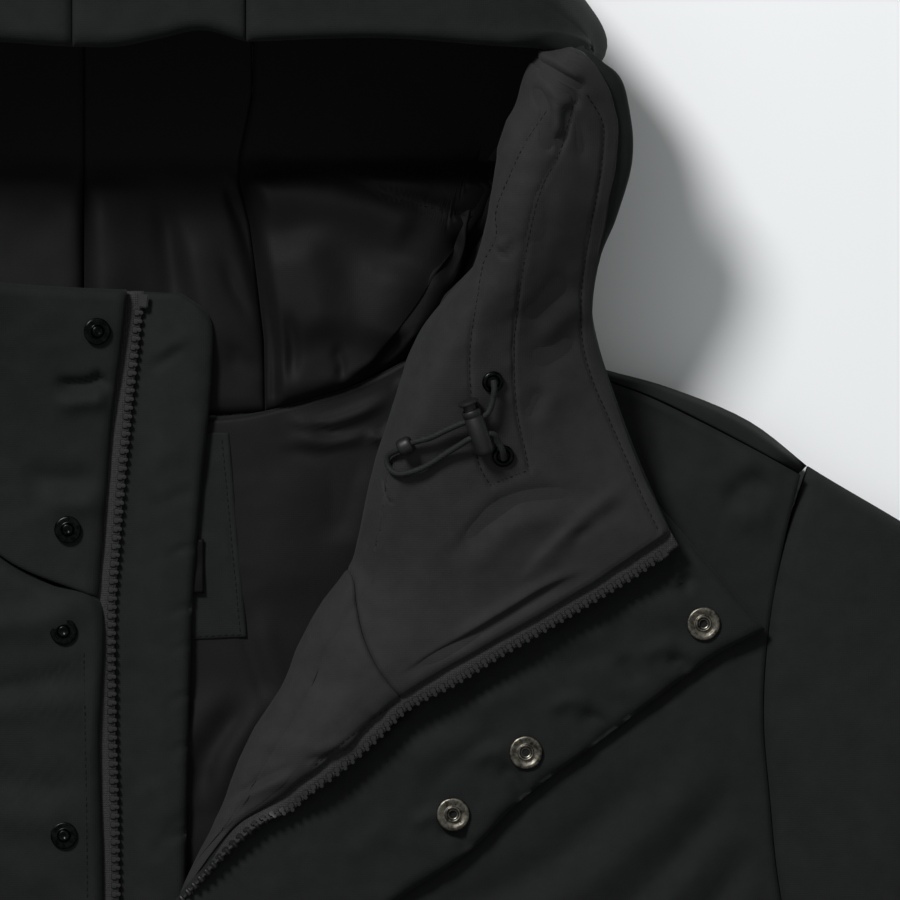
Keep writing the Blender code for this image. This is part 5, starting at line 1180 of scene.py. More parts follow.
@dataclass
class Facing:
    """The inside of the turned-out left side: one face from the lapel to the brim, cut at the neck seam."""

    finishes: Finishes
    hood_wall: tuple[np.ndarray, np.ndarray]        # middle surface and half-thickness
    lapel_wall: tuple[np.ndarray, np.ndarray]
    cols: int = 170
    hood_rows: int = 180
    lapel_rows: int = 100
    over: float = SEAM_GAP + 0.5
    # Neck seam as seen from above, carried on past the zip and past the roll
    neck_seam: tuple = ((106, 93), (94.2, 111.0), (90.4, 115.4), (84.8, 123.2), (79.4, 135.2), (76.6, 148),
                        (75, 159), (68, 168), (50, 174))
    # How far the facing's seam lies inside the collar's outer edge: plan y and distance
    seam: tuple = ((165, 0.5), (200, 2.0), (270, 2.0), (285, 2.4), (300, 6.0), (312, 9.2), (330, 9.6), (342, 8.6),
                   (353, 9.8), (369, 14.0))

    def hood_part(self) -> np.ndarray:
        """Face of the turned-out collar, brim end to neck seam."""
        grid, half = self.hood_wall
        first = round(len(grid) * Hood.facing_top)
        inset = np.interp(plan(grid[:, 0])[:, 1], *zip(*self.seam))
        face = grid + normals(grid) * (half + self.over)[..., None]
        run = reach(grid, 1)
        end = run[:, round(grid.shape[1] * 0.75)]
        return stretch(face[first:], run[first:], inset[first:], end[first:], self.cols)

    def lapel_part(self) -> np.ndarray:
        """Face of the turned-out front, foot to neck seam."""
        grid, half = self.lapel_wall
        first = round(len(grid) * 0.1)
        face = grid - normals(grid) * (half + self.over)[..., None]
        run = reach(grid, 1)
        end = run[:, round(grid.shape[1] * 0.79)]
        return stretch(face[first:], run[first:], np.zeros(len(grid) - first), end[first:], self.cols)

    def crossing(self, face: np.ndarray, run: np.ndarray, joint: int) -> np.ndarray:
        """How far up each column of the face the neck seam lies.

        Args:
            face: the whole face, foot to brim.
            run: distance along its columns.
            joint: the row where its two parts meet.

        Returns:
            One distance a column.
        """
        line = spline(self.neck_seam, 80)
        window = slice(joint - 45, joint + 45)
        found = []
        for k in range(face.shape[1]):
            distance, _, side = along_line(line, plan(face[window, k]))
            signed = distance * side
            turns = np.flatnonzero(np.diff(np.sign(signed)) != 0)
            if len(turns) == 0:
                found.append(found[-1] if found else (run[joint - 1, k] + run[joint, k]) / 2)
                continue
            at = turns[np.argmin(np.abs(signed[turns]))]
            share = signed[at] / (signed[at] - signed[at + 1])
            low, high = run[window, k][at:at + 2]
            found.append(low + (high - low) * share)
        return np.array(found)

    def build(self) -> None:
        """Make the lapel's facing and the collar's facing."""
        low, high = self.lapel_part(), self.hood_part()[::-1]
        joint = len(low)
        face = np.vstack([low, high])
        near = np.clip(1.5 - np.abs(np.arange(len(face)) - joint + 0.5) / 8, 0, 1)[1:-1, None, None]
        for _ in range(30):
            face[1:-1] += ((face[:-2] + face[2:]) / 2 - face[1:-1]) * near / 2
        run = reach(face, 0)
        share = np.linspace(0, 1.25, self.cols)
        seam_at = self.crossing(face, run, joint)
        top = run[-1] - np.interp(share, (0.0, 0.6, 1.0), (16.0, 7.0, 4.0))
        tall = face.transpose(1, 0, 2)
        lapel = stretch(tall, run.T, np.zeros(self.cols), seam_at - SEAM_GAP / 2, self.lapel_rows)
        collar = stretch(tall, run.T, seam_at + SEAM_GAP / 2, top, self.hood_rows)
        for name, sheet, node, rest in (("front_facing_cloth", lapel, "front_facing_left", "lapel_cloth"),
                                        ("hood_facing_cloth", collar, "hood_facing_left", "hood_left_cloth")):
            self.piece(name, sheet.transpose(1, 0, 2), node, rest)

    def piece(self, name: str, sheet: np.ndarray, node: str, rest: str) -> None:
        """One facing sheet with its folds and stitched dips.

        Args:
            name: its name.
            sheet: its surface, with the neck seam as the first or last row.
            node: the CAD node it stands for.
            rest: the wall it lies on.
        """
        out = normals(sheet)
        if out[..., 2].mean() < 0:
            out = -out
        from_seam = reach(sheet, 0, from_end=rest == "lapel_cloth")
        raised = sheet + out * (0.5 * rounded(from_seam, 1.3))[..., None]
        upper = self.relief().lay(raised, out, rounded(reach(sheet, 1), 1.6) * rounded(from_seam, 1.3, 0.3))
        lower = sheet - out * 0.3
        # The facing takes the lighter copy of the shell nylon, which is painted light
        cloth = settle(wall(name, upper, lower, self.finishes.facing), (node,))

    @staticmethod
    def relief() -> Relief:
        """Folds and sewn lines of the facing, as seen from above."""
        seam = ((169, 352), (175, 341), (175.2, 330), (172.8, 312), (170.4, 300), (168, 285.2), (166.4, 270),
                (167, 253.2), (170.8, 238.4), (177.4, 223), (186.4, 202), (192.4, 188), (197.6, 177.4))
        left = ((152.4, 345.2), (144.8, 334), (138, 320), (132.4, 305.2), (132.4, 295.2), (127.6, 285.2),
                (124.8, 270), (122, 250), (122.4, 232), (125.6, 204.4), (130, 196))
        right = ((164, 350), (160.4, 338), (158, 329.2), (150.8, 315.2), (146, 297.2), (142.8, 280),
                 (140.4, 261.2), (139.6, 250), (140.8, 225.2), (144, 210), (145.6, 202))
        folds = (
            Fold(((174, 194), (158, 193.2), (142, 191.2), (132, 186), (122, 176), (112.8, 163.2)), 5.0, -1.7, 0.35),
            Fold(((166, 186), (150, 184), (138, 178), (128, 168), (118, 156)), 6.0, 1.5),
            Fold(((190, 200), (176, 190), (162, 178), (150, 166), (140, 154)), 3.6, 1.6, 0.3),
            Fold(((186, 190), (172, 181), (160, 171)), 3.0, -1.2),
            Fold(((170, 161.2), (154, 154.8), (138, 145.2), (122, 135.6), (106, 126.8), (92, 118)), 2.2, -2.0, 0.5),
            Fold(((172, 164), (156, 158), (140, 149), (124, 139), (108, 130)), 3.0, 1.3),
            Fold(((164, 280), (154, 270), (142, 258)), 5.0, -1.3),
            Fold(((166, 258), (158, 250), (144, 244)), 5.0, -1.2),
            Fold(((168, 272), (158, 262), (148, 252)), 4.5, 1.1),
            Fold(((152, 236), (147, 226), (142, 222)), 3.5, -1.1),
            Fold(((160, 240), (154, 228), (150, 216)), 5.0, 0.9),
            Fold(((108, 206), (100, 198), (94, 188)), 6.0, -0.9),
            Fold(((132, 290), (135.2, 287.6), (138, 289.2), (139.0, 295)), 1.1, -1.1, 0.0, (0.2, 0.3)),
            Fold(((134, 294), (135.4, 291)), 2.2, 0.9, 0.0, (0.2, 0.2)),
            Fold(((147, 356), (149.2, 350), (152.4, 345), (152, 334), (154.8, 329)), 1.9, -2.6, 0.3, (0.2, 0.15)),
            Fold(((163, 349), (161.6, 344), (160, 336), (156.4, 330)), 1.7, -2.2, -0.3, (0.2, 0.2)),
            Fold(((157, 352), (156.6, 343), (157, 334)), 2.8, 2.0, 0.0, (0.3, 0.3)),
            Fold(((163.4, 347), (166, 338), (167, 322)), 2.8, -1.2, 0.0, (0.3, 0.4)),
            Fold(((140, 372), (150, 364.4), (158, 359.6), (164, 356.4), (169, 353)), 1.5, -3.4, 0.4, (0.05, 0.2)),
            Fold(((148, 368), (158, 363.4), (168, 357)), 2.8, 2.0, 0.0, (0.1, 0.2)),
            Fold(((149, 361.4), (153.2, 358.8), (158, 355.6), (165, 350.6), (163, 347.4)), 1.1, -1.8, 0.0, (0.1, 0.1)),
            Fold(((152, 355), (158, 350.4), (163, 347)), 1.6, 1.2), Fold(((140, 348), (138, 336), (134, 324)), 5.0, 1.4),
            Fold(((154, 322), (150, 305), (147, 285)), 5.0, -0.8),
            Fold(((126, 262), (124, 240), (126, 220)), 4.5, 0.7, 0.0, (0.2, 0.2)),
            Fold(((26, 67), (38, 74), (52, 80)), 2.2, 1.2), Fold(((24, 68), (40, 79), (54, 85)), 2.0, -1.1),
            Fold(((54, 86), (66, 87.2), (76, 89)), 1.6, -0.9), Fold(((56, 90), (70, 92), (82, 96)), 2.6, 1.0),
            Fold(((50, 128), (62, 118), (74, 112)), 6.0, -1.0), Fold(((60, 140), (70, 130), (80, 118)), 6.0, 1.1),
            Fold(((34, 96), (46, 92), (60, 92)), 4.0, 0.8),
        )
        grooves = (Groove(seam, 0.7, 0.8, 0.3, 4.0, 3.0, 4), Groove(left, 0.8, 0.85, 0.35, 4.5, 4.5, 5),
                   Groove(right, 0.8, 0.85, 0.45, 4.5, 4.5, 6), Groove(((130, 196), (145.6, 202)), 0.7, 0.8, 0.2),
                   Groove(((198, 172), (180, 159.5), (160, 147.5), (140, 136), (120, 124), (102, 115.6)), 0.35, 0.9,
                          0.3, 5.0, 4.0, 7), Groove(((60, 84), (76, 97), (92, 109)), 0.35, 0.9, 0.5, 4.0, 5.0, 9))
        return Relief(folds=folds, grooves=grooves, swell=0.45, swell_size=38.0, crumple=0.14, seed=61)


@dataclass
class Fronts:
    """Both fronts with the turned-out one's lapel, the storm flap and the wind guard."""

    finishes: Finishes
    body_rows: int = 170
    body_cols: int = 80
    turn_rows: int = 150
    arc_steps: int = 6
    flat_steps: int = 5
    lapel_wall: tuple | None = None

    def left_grids(self) -> tuple[np.ndarray, np.ndarray]:
        """Control grids of the lower layer and of the turned-out layer."""
        centres = [np.array((r[0], r[1])) + ROLL_OUT[:2] * (FRONT_THICK / 2 + ROLL_RADIUS) for r in LAPEL]
        left = np.vstack([FRONT_EDGE_LEFT, centres, FRONT_NECK_LEFT])
        grid = front_grid(left, FRONT_MID)
        fold_first = len(FRONT_EDGE_LEFT) - 1
        grid[:fold_first + 2, :2, 2] = FRONT_EDGE_MID
        count = self.arc_steps + self.flat_steps
        base = grid[fold_first, 0]
        turned = [np.array([base + np.array((-0.6, 0, 0)) * (count - k) for k in range(count)] + [base])]
        for k, (_, _, zip_x, zip_y, turn) in enumerate(LAPEL):
            start = grid[fold_first + 1 + k, 0]
            radius = (TURN_MID - start[2]) / 2
            centre = start + (0, 0, radius)
            arc = []
            for n in range(1, self.arc_steps + 1):
                angle = math.pi * turn * n / self.arc_steps
                arc.append(centre - ROLL_OUT * (radius * math.sin(angle)) - np.array((0, 0, radius * math.cos(angle))))
            tip = arc[-1]
            if turn < 1.0:
                ahead = (arc[-1] - arc[-2]) / np.linalg.norm(arc[-1] - arc[-2])
                flat = [tip + ahead * (0.6 * n) for n in range(1, self.flat_steps + 1)]
            else:
                lift = LAPEL_MID if k >= 3 else TURN_MID + (LAPEL_MID - TURN_MID) * (0.3 * k)
                goal = np.array((zip_x, zip_y, lift))
                flat = []
                for n in range(1, self.flat_steps + 1):
                    share = n / self.flat_steps
                    p = tip + (goal - tip) * share
                    p[2] = tip[2] + (goal[2] - tip[2]) * min(1.0, share * 1.6)
                    flat.append(p)
            turned.append(np.array(flat[::-1] + arc[::-1] + [start]))
        return grid, np.array(turned)

    def build(self) -> None:
        """Make the fronts, the flap and the guard."""
        self.left()
        self.right()
        self.flap()
        self.guard()

    def left(self) -> None:
        """The left front in two stretches that meet at the roll, and the lapel's wall that its facing lies on."""
        grid, turned = self.left_grids()
        fine = refine(grid, self.body_rows, self.body_cols)
        over = padding(fine, FRONT_THICK / 2, {"low": (9.0, 0.35), "high": (2.0, 0.9), "right": (1.8, 0.9)})
        under = np.full(fine.shape[:2], FRONT_THICK / 2)
        under *= rounded(reach(fine, 1, True), 9.0, 0.45)
        folds = (
            Fold(((178, 240), (192, 216), (206, 192)), 13.0, -3.6), Fold(((204, 238), (212, 214), (226, 190)), 12.0, -1.6),
            Fold(((224, 186), (228, 192), (236, 196), (244, 193)), 3.2, -3.2, 0.3),
            Fold(((226, 178), (234, 184), (246, 183)), 5.0, 2.4), Fold(((228, 204), (238, 206), (250, 200)), 5.0, 2.2),
            Fold(((200, 220), (216, 204), (238, 200)), 9.0, 1.2),
            Fold(((96, 20), (150, 42), (196, 84)), 6.0, -2.8),
            Fold(((110, 8), (160, 30), (206, 70), (228, 96)), 8.0, 3.6),
            Fold(((150, -10), (196, 26), (228, 62)), 8.0, 3.2),
            Fold(((160, 4), (200, 40), (232, 80)), 5.0, -2.6),
            Fold(((196, -20), (222, 10), (240, 40)), 7.0, 2.8), Fold(((186, -10), (214, 20), (238, 56)), 4.0, -2.2),
            Fold(((120, -16), (160, 4), (190, 20)), 7.0, -2.2),
            Fold(((60, -60), (140, -40), (230, -60)), 12.0, 2.0),
            Fold(((40, -180), (130, -200), (250, -170)), 14.0, 2.0),
            Fold(((60, -300), (160, -280), (270, -320)), 14.0, 2.0),
            Fold(((280, -80), (230, -120), (170, -130)), 9.0, -2.0),
        )
        top = Relief(folds=folds, swell=0.7, swell_size=46.0, crumple=0.2, seed=81,
                     grooves=(Groove(((0, -448), (150, -448), (290, -448)), 0.8, 2.0, 0.6, 9.0, 9.0, 8),))
        hold = rounded(reach(fine, 0, True), 3.0, 0.2) * rounded(reach(fine, 1, True), 3.0, 0.2)
        panel = Panel("front_left_cloth", fine, over, under, self.finishes.shell, Slot.SHELL, ("front_left",), top=top,
                      back=Relief(swell=0.0, crumple=0.0), hold=hold)
        panel.build()
        roll = refine(turned, self.turn_rows, 90)
        half = padding(roll, FRONT_THICK / 2 - 0.4, {"left": (7.0, 0.42)})
        # The facing needs the fine surface; the wall under it doesn't
        kept = np.ix_(np.linspace(0, self.turn_rows - 1, 100).round().astype(int),
                      np.linspace(0, roll.shape[1] - 1, 60).round().astype(int))
        panel = Panel("lapel_cloth", roll[kept], half[kept], half[kept], self.finishes.shell, Slot.SHELL, (),
                      top=Relief(swell=0.0, crumple=0.0), back=Relief(swell=0.2, crumple=0.1, seed=83))
        panel.build()
        self.lapel_wall = (roll, half)

    def right(self) -> None:
        """The right front in its place."""
        left = np.array([(-x, y) for x, y in FRONT_EDGE_RIGHT + FRONT_NECK_RIGHT])
        grid = mirrored(front_grid(left, FRONT_MID))
        fine = refine(grid, self.body_rows, self.body_cols)
        over = padding(fine, FRONT_THICK / 2, {"low": (9.0, 0.35), "high": (2.0, 0.9), "left": (1.8, 0.9),
                                               "right": (6.0, 0.3)})
        under = padding(fine, FRONT_THICK / 2, {"left": (9.0, 0.45)})
        folds = (
            Fold(((-28, 150), (-48, 142), (-80, 140)), 6.0, 3.0), Fold(((-26, 124), (-46, 118), (-80, 112)), 5.0, -2.8, 0.3),
            Fold(((-28, 104), (-50, 110), (-80, 104)), 6.0, 2.6), Fold(((-28, 78), (-50, 74), (-80, 84)), 5.0, -2.4),
            Fold(((-30, 60), (-56, 64), (-90, 60)), 8.0, 2.6), Fold(((-34, 44), (-60, 40), (-100, 60)), 8.0, 1.8),
            Fold(((-24, 196), (-36, 190), (-52, 192)), 4.0, -2.0), Fold(((-24, 186), (-40, 180), (-60, 184)), 5.0, 2.2),
            Fold(((-60, -60), (-140, -40), (-230, -60)), 12.0, 2.0), Fold(((-40, -180), (-130, -200), (-250, -170)), 14.0, 2.0),
            Fold(((-60, -300), (-160, -280), (-270, -320)), 14.0, 2.0), Fold(((-280, -80), (-230, -120), (-170, -130)), 9.0, -2.0),
            Fold(((-224, 186), (-228, 192), (-236, 196), (-244, 193)), 3.2, -2.2, 0.3),
        )
        top = Relief(folds=folds, swell=0.7, swell_size=46.0, crumple=0.2, seed=86, grooves=(
            Groove(((-31, -440), (-31, 30), (-32.5, 130)), 0.5, 1.2, 0.5, 5.0, 5.0, 10),
            Groove(((-290, -448), (-150, -448), (-30, -448)), 0.8, 2.0, 0.6, 9.0, 9.0, 8)))
        hold = rounded(reach(fine, 0, True), 3.0, 0.2) * rounded(reach(fine, 1), 3.0, 0.2)
        panel = Panel("front_right_cloth", fine, over, under, self.finishes.shell, Slot.SHELL, ("front_right",), top=top,
                      back=Relief(swell=0.0, crumple=0.0), hold=hold)
        panel.build()

    def flap(self) -> None:
        """The storm flap: inner side up at the lapel, folded back on itself, in place below."""
        cols = 10
        rows = []
        for sewn, fold, free in STORM_FLAP:
            sewn, free = np.array(sewn, float), np.array(free, float)
            if fold is None:
                rows.append(even(np.array([sewn, free]), cols))
            else:
                turn = np.array((fold[0], fold[1], (sewn[2] + free[2]) / 2 + 0.5))
                low = np.array((fold[0] + 3.5, fold[1], sewn[2] + 0.5))
                high = np.array((fold[0] + 3.5, fold[1], free[2] + 0.5))
                rows.append(np.vstack([even(np.array([sewn, low]), 4), turn, even(np.array([high, free]), 5)]))
        fine = refine(np.array(rows), 300, 36)
        half = padding(fine, FLAP_THICK / 2, {"right": (4.5, 0.12), "high": (4.5, 0.12), "left": (4.0, 0.4),
                                              "low": (5.0, 0.3)})
        folds = (
            Fold(((210, 122), (206, 126), (200, 124)), 3.0, -2.8, 0.3, (0.1, 0.3)), Fold(((190, 116), (187, 122), (182, 128)), 3.0, -1.6),
            Fold(((180, 94), (174, 102), (164, 104)), 3.2, -2.8, 0.3, (0.1, 0.3)), Fold(((144, 70), (140, 80), (132, 84)), 3.2, -3.0, 0.3, (0.1, 0.3)),
            Fold(((122, 50), (117, 58), (108, 58)), 3.2, -3.0, 0.3, (0.1, 0.3)), Fold(((216, 150), (196, 146), (178, 150)), 6.0, 1.2),
            Fold(((206, 132), (198, 131), (190, 126)), 3.0, 1.8), Fold(((172, 108), (162, 110), (152, 106)), 3.0, 1.8),
            Fold(((138, 88), (130, 89), (122, 84)), 3.0, 1.8), Fold(((114, 64), (106, 64), (98, 58)), 3.0, 1.8),
            Fold(((186, 130), (170, 136), (150, 134)), 6.0, 1.4), Fold(((190, 142), (172, 128), (150, 118)), 5.0, -1.2),
            Fold(((150, 110), (136, 112), (120, 104)), 6.0, 1.4), Fold(((128, 92), (112, 92), (96, 82)), 6.0, 1.4),
            Fold(((140, 100), (120, 88), (104, 72)), 4.0, -1.0), Fold(((96, 60), (84, 56), (72, 44)), 6.0, 1.2),
            Fold(((210, 162), (208, 158), (206, 152)), 3.0, -2.6, 0.2), Fold(((204, 168), (204.6, 160), (205, 154)), 1.6, 1.6),
        )
        relief = Relief(folds=folds, swell=0.5, swell_size=24.0, crumple=0.2, seed=91, grooves=(
            Groove(tuple((x - 2.6 * 0.55, y + 2.6 * 0.8) for x, y in ((98, 33), (122, 49.2), (142, 69.2), (174, 93.2),
                                                                      (198.8, 112), (221, 128), (236, 137))),
                   0.5, 1.1, 0.6, 5.0, 6.0, 12),))
        under_way = Relief(swell=0.4, crumple=0.15, seed=92)
        hold = rounded(reach(fine, 1), 3.0, 0.0)
        panel = Panel("storm_flap_cloth", fine, half, half, self.finishes.shell, Slot.SHELL, ("storm_flap",),
                      top=relief, back=under_way, hold=hold)
        if normals(fine)[-30, 18, 2] < 0:
            panel.top, panel.back = under_way, relief
        panel.build()

    def guard(self) -> None:
        """The padded guard behind the right half of the zip."""
        left = spline([(x + SEAM_GAP, y) for x, y in ZIP_EDGE_RIGHT], 140)
        right = spline(WIND_GUARD_EDGE, 140)
        share = np.linspace(0, 1, 4)[None, :, None]
        flat = left[:, None] * (1 - share) + right[:, None] * share
        grid = np.concatenate([flat, np.full(flat.shape[:2] + (1,), WIND_GUARD_TOP - 1.5)], axis=2)
        fine = refine(grid, 400, 24)
        half = padding(fine, 1.5, {"right": (3.0, 0.2), "high": (3.0, 0.2), "low": (3.0, 0.3)})
        over = half * 1.0
        bulge = np.clip((fine[..., 0] - (-12)) / 10, 0, 1) * np.clip((20 - fine[..., 0]) / 8, 0, 1)
        over = over + 1.6 * bulge * rounded(reach(fine, 1, True), 5.0, 0.0)
        pucker = []
        for y, dip in ((170, 1.2), (146, 1.0), (131, 0.9), (111, 1.1), (91, 1.2), (88, 0.7), (56, 1.1), (20, 1.0),
                       (-20, 1.2), (-70, 1.0), (-120, 1.2), (-180, 1.0), (-240, 1.2), (-310, 1.0), (-380, 1.2)):
            pucker.append(Fold(((12, y + 2.0), (5, y), (-1, y - 4)), 1.0, -dip, 0.2, (0.0, 0.6)))
        folds = tuple(pucker) + (
            Fold(((-7, 241), (2, 247), (9, 252)), 2.2, -1.2, 0.3), Fold(((-6, 246), (3, 252), (12, 258)), 3.0, 1.0),
            Fold(((12, 214), (0, 208), (-10, 200)), 5.0, 0.9), Fold(((13, 196), (2, 190), (-8, 186)), 3.0, -0.9),
            Fold(((-6, 80), (0, 70), (6, 62)), 5.0, 0.9), Fold(((4, 60), (-2, 52), (-6, 44)), 3.0, -0.8),
        )
        panel = Panel("wind_guard_cloth", fine, over, half, self.finishes.shell, Slot.SHELL, ("wind_guard",),
                      top=Relief(folds=folds, swell=0.4, swell_size=22.0, crumple=0.15, seed=95),
                      back=Relief(swell=0.0, crumple=0.0), hold=rounded(reach(fine, 1), 4.0, 0.0))
        panel.build()


@dataclass
class Sleeves:
    """Upper and under panels of both sleeves."""

    finishes: Finishes
    # Both one more than a multiple of three, as the under panel takes every third
    rows: int = 109
    cols: int = 61

    def build(self) -> None:
        """Make both sleeves."""
        for side, name in ((1, "left"), (-1, "right")):
            self.sleeve(side, name)

    def sleeve(self, side: int, name: str) -> None:
        """One sleeve.

        Args:
            side: 1 for the wearer's left, -1 for the right.
            name: left or right.
        """
        hole = armhole_line() + (SEAM_GAP / 2, 0)
        hole[-1] = (258.6, 203.4)
        outer, inner = spline(SLEEVE_OUTER, 10), spline(SLEEVE_INNER, 10)
        outer[0], inner[0] = hole[-1], hole[0]
        share = np.linspace(0, 1, 9)[:, None]
        cuff = inner[-1] * (1 - share) + outer[-1] * share
        flat = coons(hole, cuff, inner, outer)
        grid = np.concatenate([flat, np.zeros(flat.shape[:2] + (1,))], axis=2) * (side, 1, 1)
        fine = refine(grid, self.rows, self.cols)
        u = np.linspace(-1, 1, self.cols)[None, :]
        from_hole = reach(fine, 0)
        from_cuff = reach(fine, 0, True)
        mix = np.minimum(1, from_hole / 50)
        swell = np.sqrt(np.maximum(0, 1 - u ** 8)) * (1 - mix) + np.sqrt(np.maximum(0, 1 - u * u)) * mix
        ease = 0.5 + 0.5 * np.minimum(1, from_hole / 60) * np.minimum(1, from_cuff / 26)
        up = np.broadcast_to(np.array((0, 0, 1.0)), fine.shape)
        height = BACK_TOP + 3.0 + 25.0 * swell * ease
        height *= rounded(from_hole, 1.8, 0.95) * rounded(from_cuff, 6.0, 0.55)
        folds = []
        for k, (at, tilt, wide, rise) in enumerate(((0.1, 26, 8, 1.8), (0.2, -18, 7, -1.8), (0.3, 22, 9, 2.2), (0.42, -26, 8, -2.4),
                                                    (0.48, 20, 9, 2.6), (0.56, -16, 7, -2.0), (0.68, 24, 9, 2.0), (0.8, -20, 8, 1.8),
                                                    (0.9, 12, 7, -1.6))):
            row = fine[round(at * (self.rows - 1))]
            a, b = row[7, :2].copy(), row[-8, :2].copy()
            middle = (a + b) / 2 + np.array((side * 0.5, -0.86)) * tilt
            folds.append(Fold((tuple(a), tuple(middle), tuple(b)), wide, rise, 0.3 if k % 2 else -0.3))
        relief = Relief(folds=tuple(folds), swell=0.9, swell_size=44.0, crumple=0.25, seed=100 + side)
        hold = rounded(from_hole, 5.0, 0.1) * swell
        top = fine + up * height[..., None]
        top = relief.lay(top, up, hold)
        low = fine + up * (BACK_TOP + SEAM_GAP)
        upper = settle(wall(f"sleeve_upper_{name}_cloth", top, low, self.finishes.shell),
                       (f"sleeve_upper_{name}",))
        under_top = fine + up * (8.0 + 4.0 * swell)[..., None]
        under = settle(wall(f"sleeve_under_{name}_cloth", under_top[::3, ::3], fine[::3, ::3], self.finishes.shell),
                       (f"sleeve_under_{name}",))


# ---------------------------------------------------------------- zip, snaps, cord

def turned_mesh(profile: Sequence, centre: np.ndarray, axis: np.ndarray, steps: int) -> tuple[np.ndarray, list]:
    """Points and faces of a turned piece.

    Args:
        profile: radius and height of its outline, closed through the axis or through its bore.
        centre: where the axis starts.
        axis: the way it points.
        steps: sides round it.

    Returns:
        Points and faces.
    """
    axis = axis / np.linalg.norm(axis)
    side = np.cross(axis, (0.0, 1.0, 0.0) if abs(axis[1]) < 0.9 else (1.0, 0.0, 0.0))
    side /= np.linalg.norm(side)
    other = np.cross(axis, side)
    points, rings, faces = [], [], []
    for radius, height in profile:
        base = len(points)
        if radius == 0.0:
            points.append(centre + axis * height)
            rings.append([base] * steps)
            continue
        for k in range(steps):
            angle = 2 * math.pi * k / steps
            points.append(centre + (side * math.cos(angle) + other * math.sin(angle)) * radius + axis * height)
        rings.append([base + k for k in range(steps)])
    pairs = list(zip(rings, rings[1:]))
    if profile[0][0] > 0.0:
        pairs.append((rings[-1], rings[0]))
    for low, high in pairs:
        for k in range(steps):
            n = (k + 1) % steps
            corners = list(dict.fromkeys((low[k], low[n], high[n], high[k])))
            if len(corners) > 2:
                faces.append(corners)
    return np.array(points), faces


def node_pose(node: str) -> tuple[np.ndarray, np.ndarray]:
    """Middle of a flat round node's foot, and the way it looks, in millimetres."""
    pts = np.array([v.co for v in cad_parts[node].data.vertices]) / MM
    middle = (pts.max(axis=0) + pts.min(axis=0)) / 2
    spread_out = pts - pts.mean(axis=0)
    axis = np.linalg.svd(spread_out, full_matrices=False)[2][2]
    along = (pts - middle) @ axis
    radius = np.linalg.norm((pts - middle) - np.outer(along, axis), axis=1)
    low_wide, high_wide = radius[along < along.min() + 0.05].max(), radius[along > along.max() - 0.05].max()
    if high_wide > low_wide:
        axis, along = -axis, -along
    return middle + axis * along.min(), axis


@dataclass
class Snaps:
    """Antique silver sockets on the flap and black studs on the right front."""

    finishes: Finishes
    socket_radius: float = 6.8
    stud_radius: float = 5.4

    def build(self) -> None:
        """Make a finer turned piece for every snap."""
        r, s = self.socket_radius, self.stud_radius
        socket = ((1.6, 0.05), (1.7, -0.1), (3.0, -0.1), (r - 0.5, 0.0), (r - 0.1, 0.15), (r, 0.45), (r - 0.12, 0.85),
                  (r - 0.55, 1.2), (r - 1.1, 1.32), (r - 1.7, 1.2), (4.2, 0.72), (3.7, 0.66), (3.35, 0.8), (3.2, 1.15),
                  (2.95, 1.32), (2.6, 1.3), (2.35, 1.1), (2.2, 0.7), (1.9, 0.5), (1.65, 0.4))
        stud = ((0.0, 0.0), (s - 0.4, 0.0), (s, 0.2), (s, 0.6), (s - 0.35, 0.95), (s - 0.9, 1.05), (3.4, 0.75),
                (2.9, 0.8), (2.6, 1.05), (2.35, 1.6), (2.3, 2.1), (2.05, 2.4), (1.6, 2.52), (1.1, 2.45), (0.8, 2.2),
                (0.0, 2.1))
        cloth = cloth_tree(["front_right_cloth", "storm_flap_cloth", "hood_right_cloth"])
        for kind, profile, steps, material, slot in (("socket", socket, 48, self.finishes.steel, Slot.STEEL),
                                                     ("stud", stud, 40, self.finishes.black_metal, Slot.BLACK_METAL)):
            for n in range(1, 13):
                node = f"snap_{kind}_{n}"
                centre, axis = node_pose(node)
                hit = cloth.ray_cast(Vector((*centre[:2], 200.0)), Vector((0, 0, -1.0)))[0]
                if hit is not None and axis[2] > 0 and 0 < hit.z - centre[2] < 4.0:
                    centre[2] = hit.z
                points, faces = turned_mesh(profile, centre, axis, steps)
                settle(add_mesh(f"{node}_turned", points, faces, material, 40), (node,))


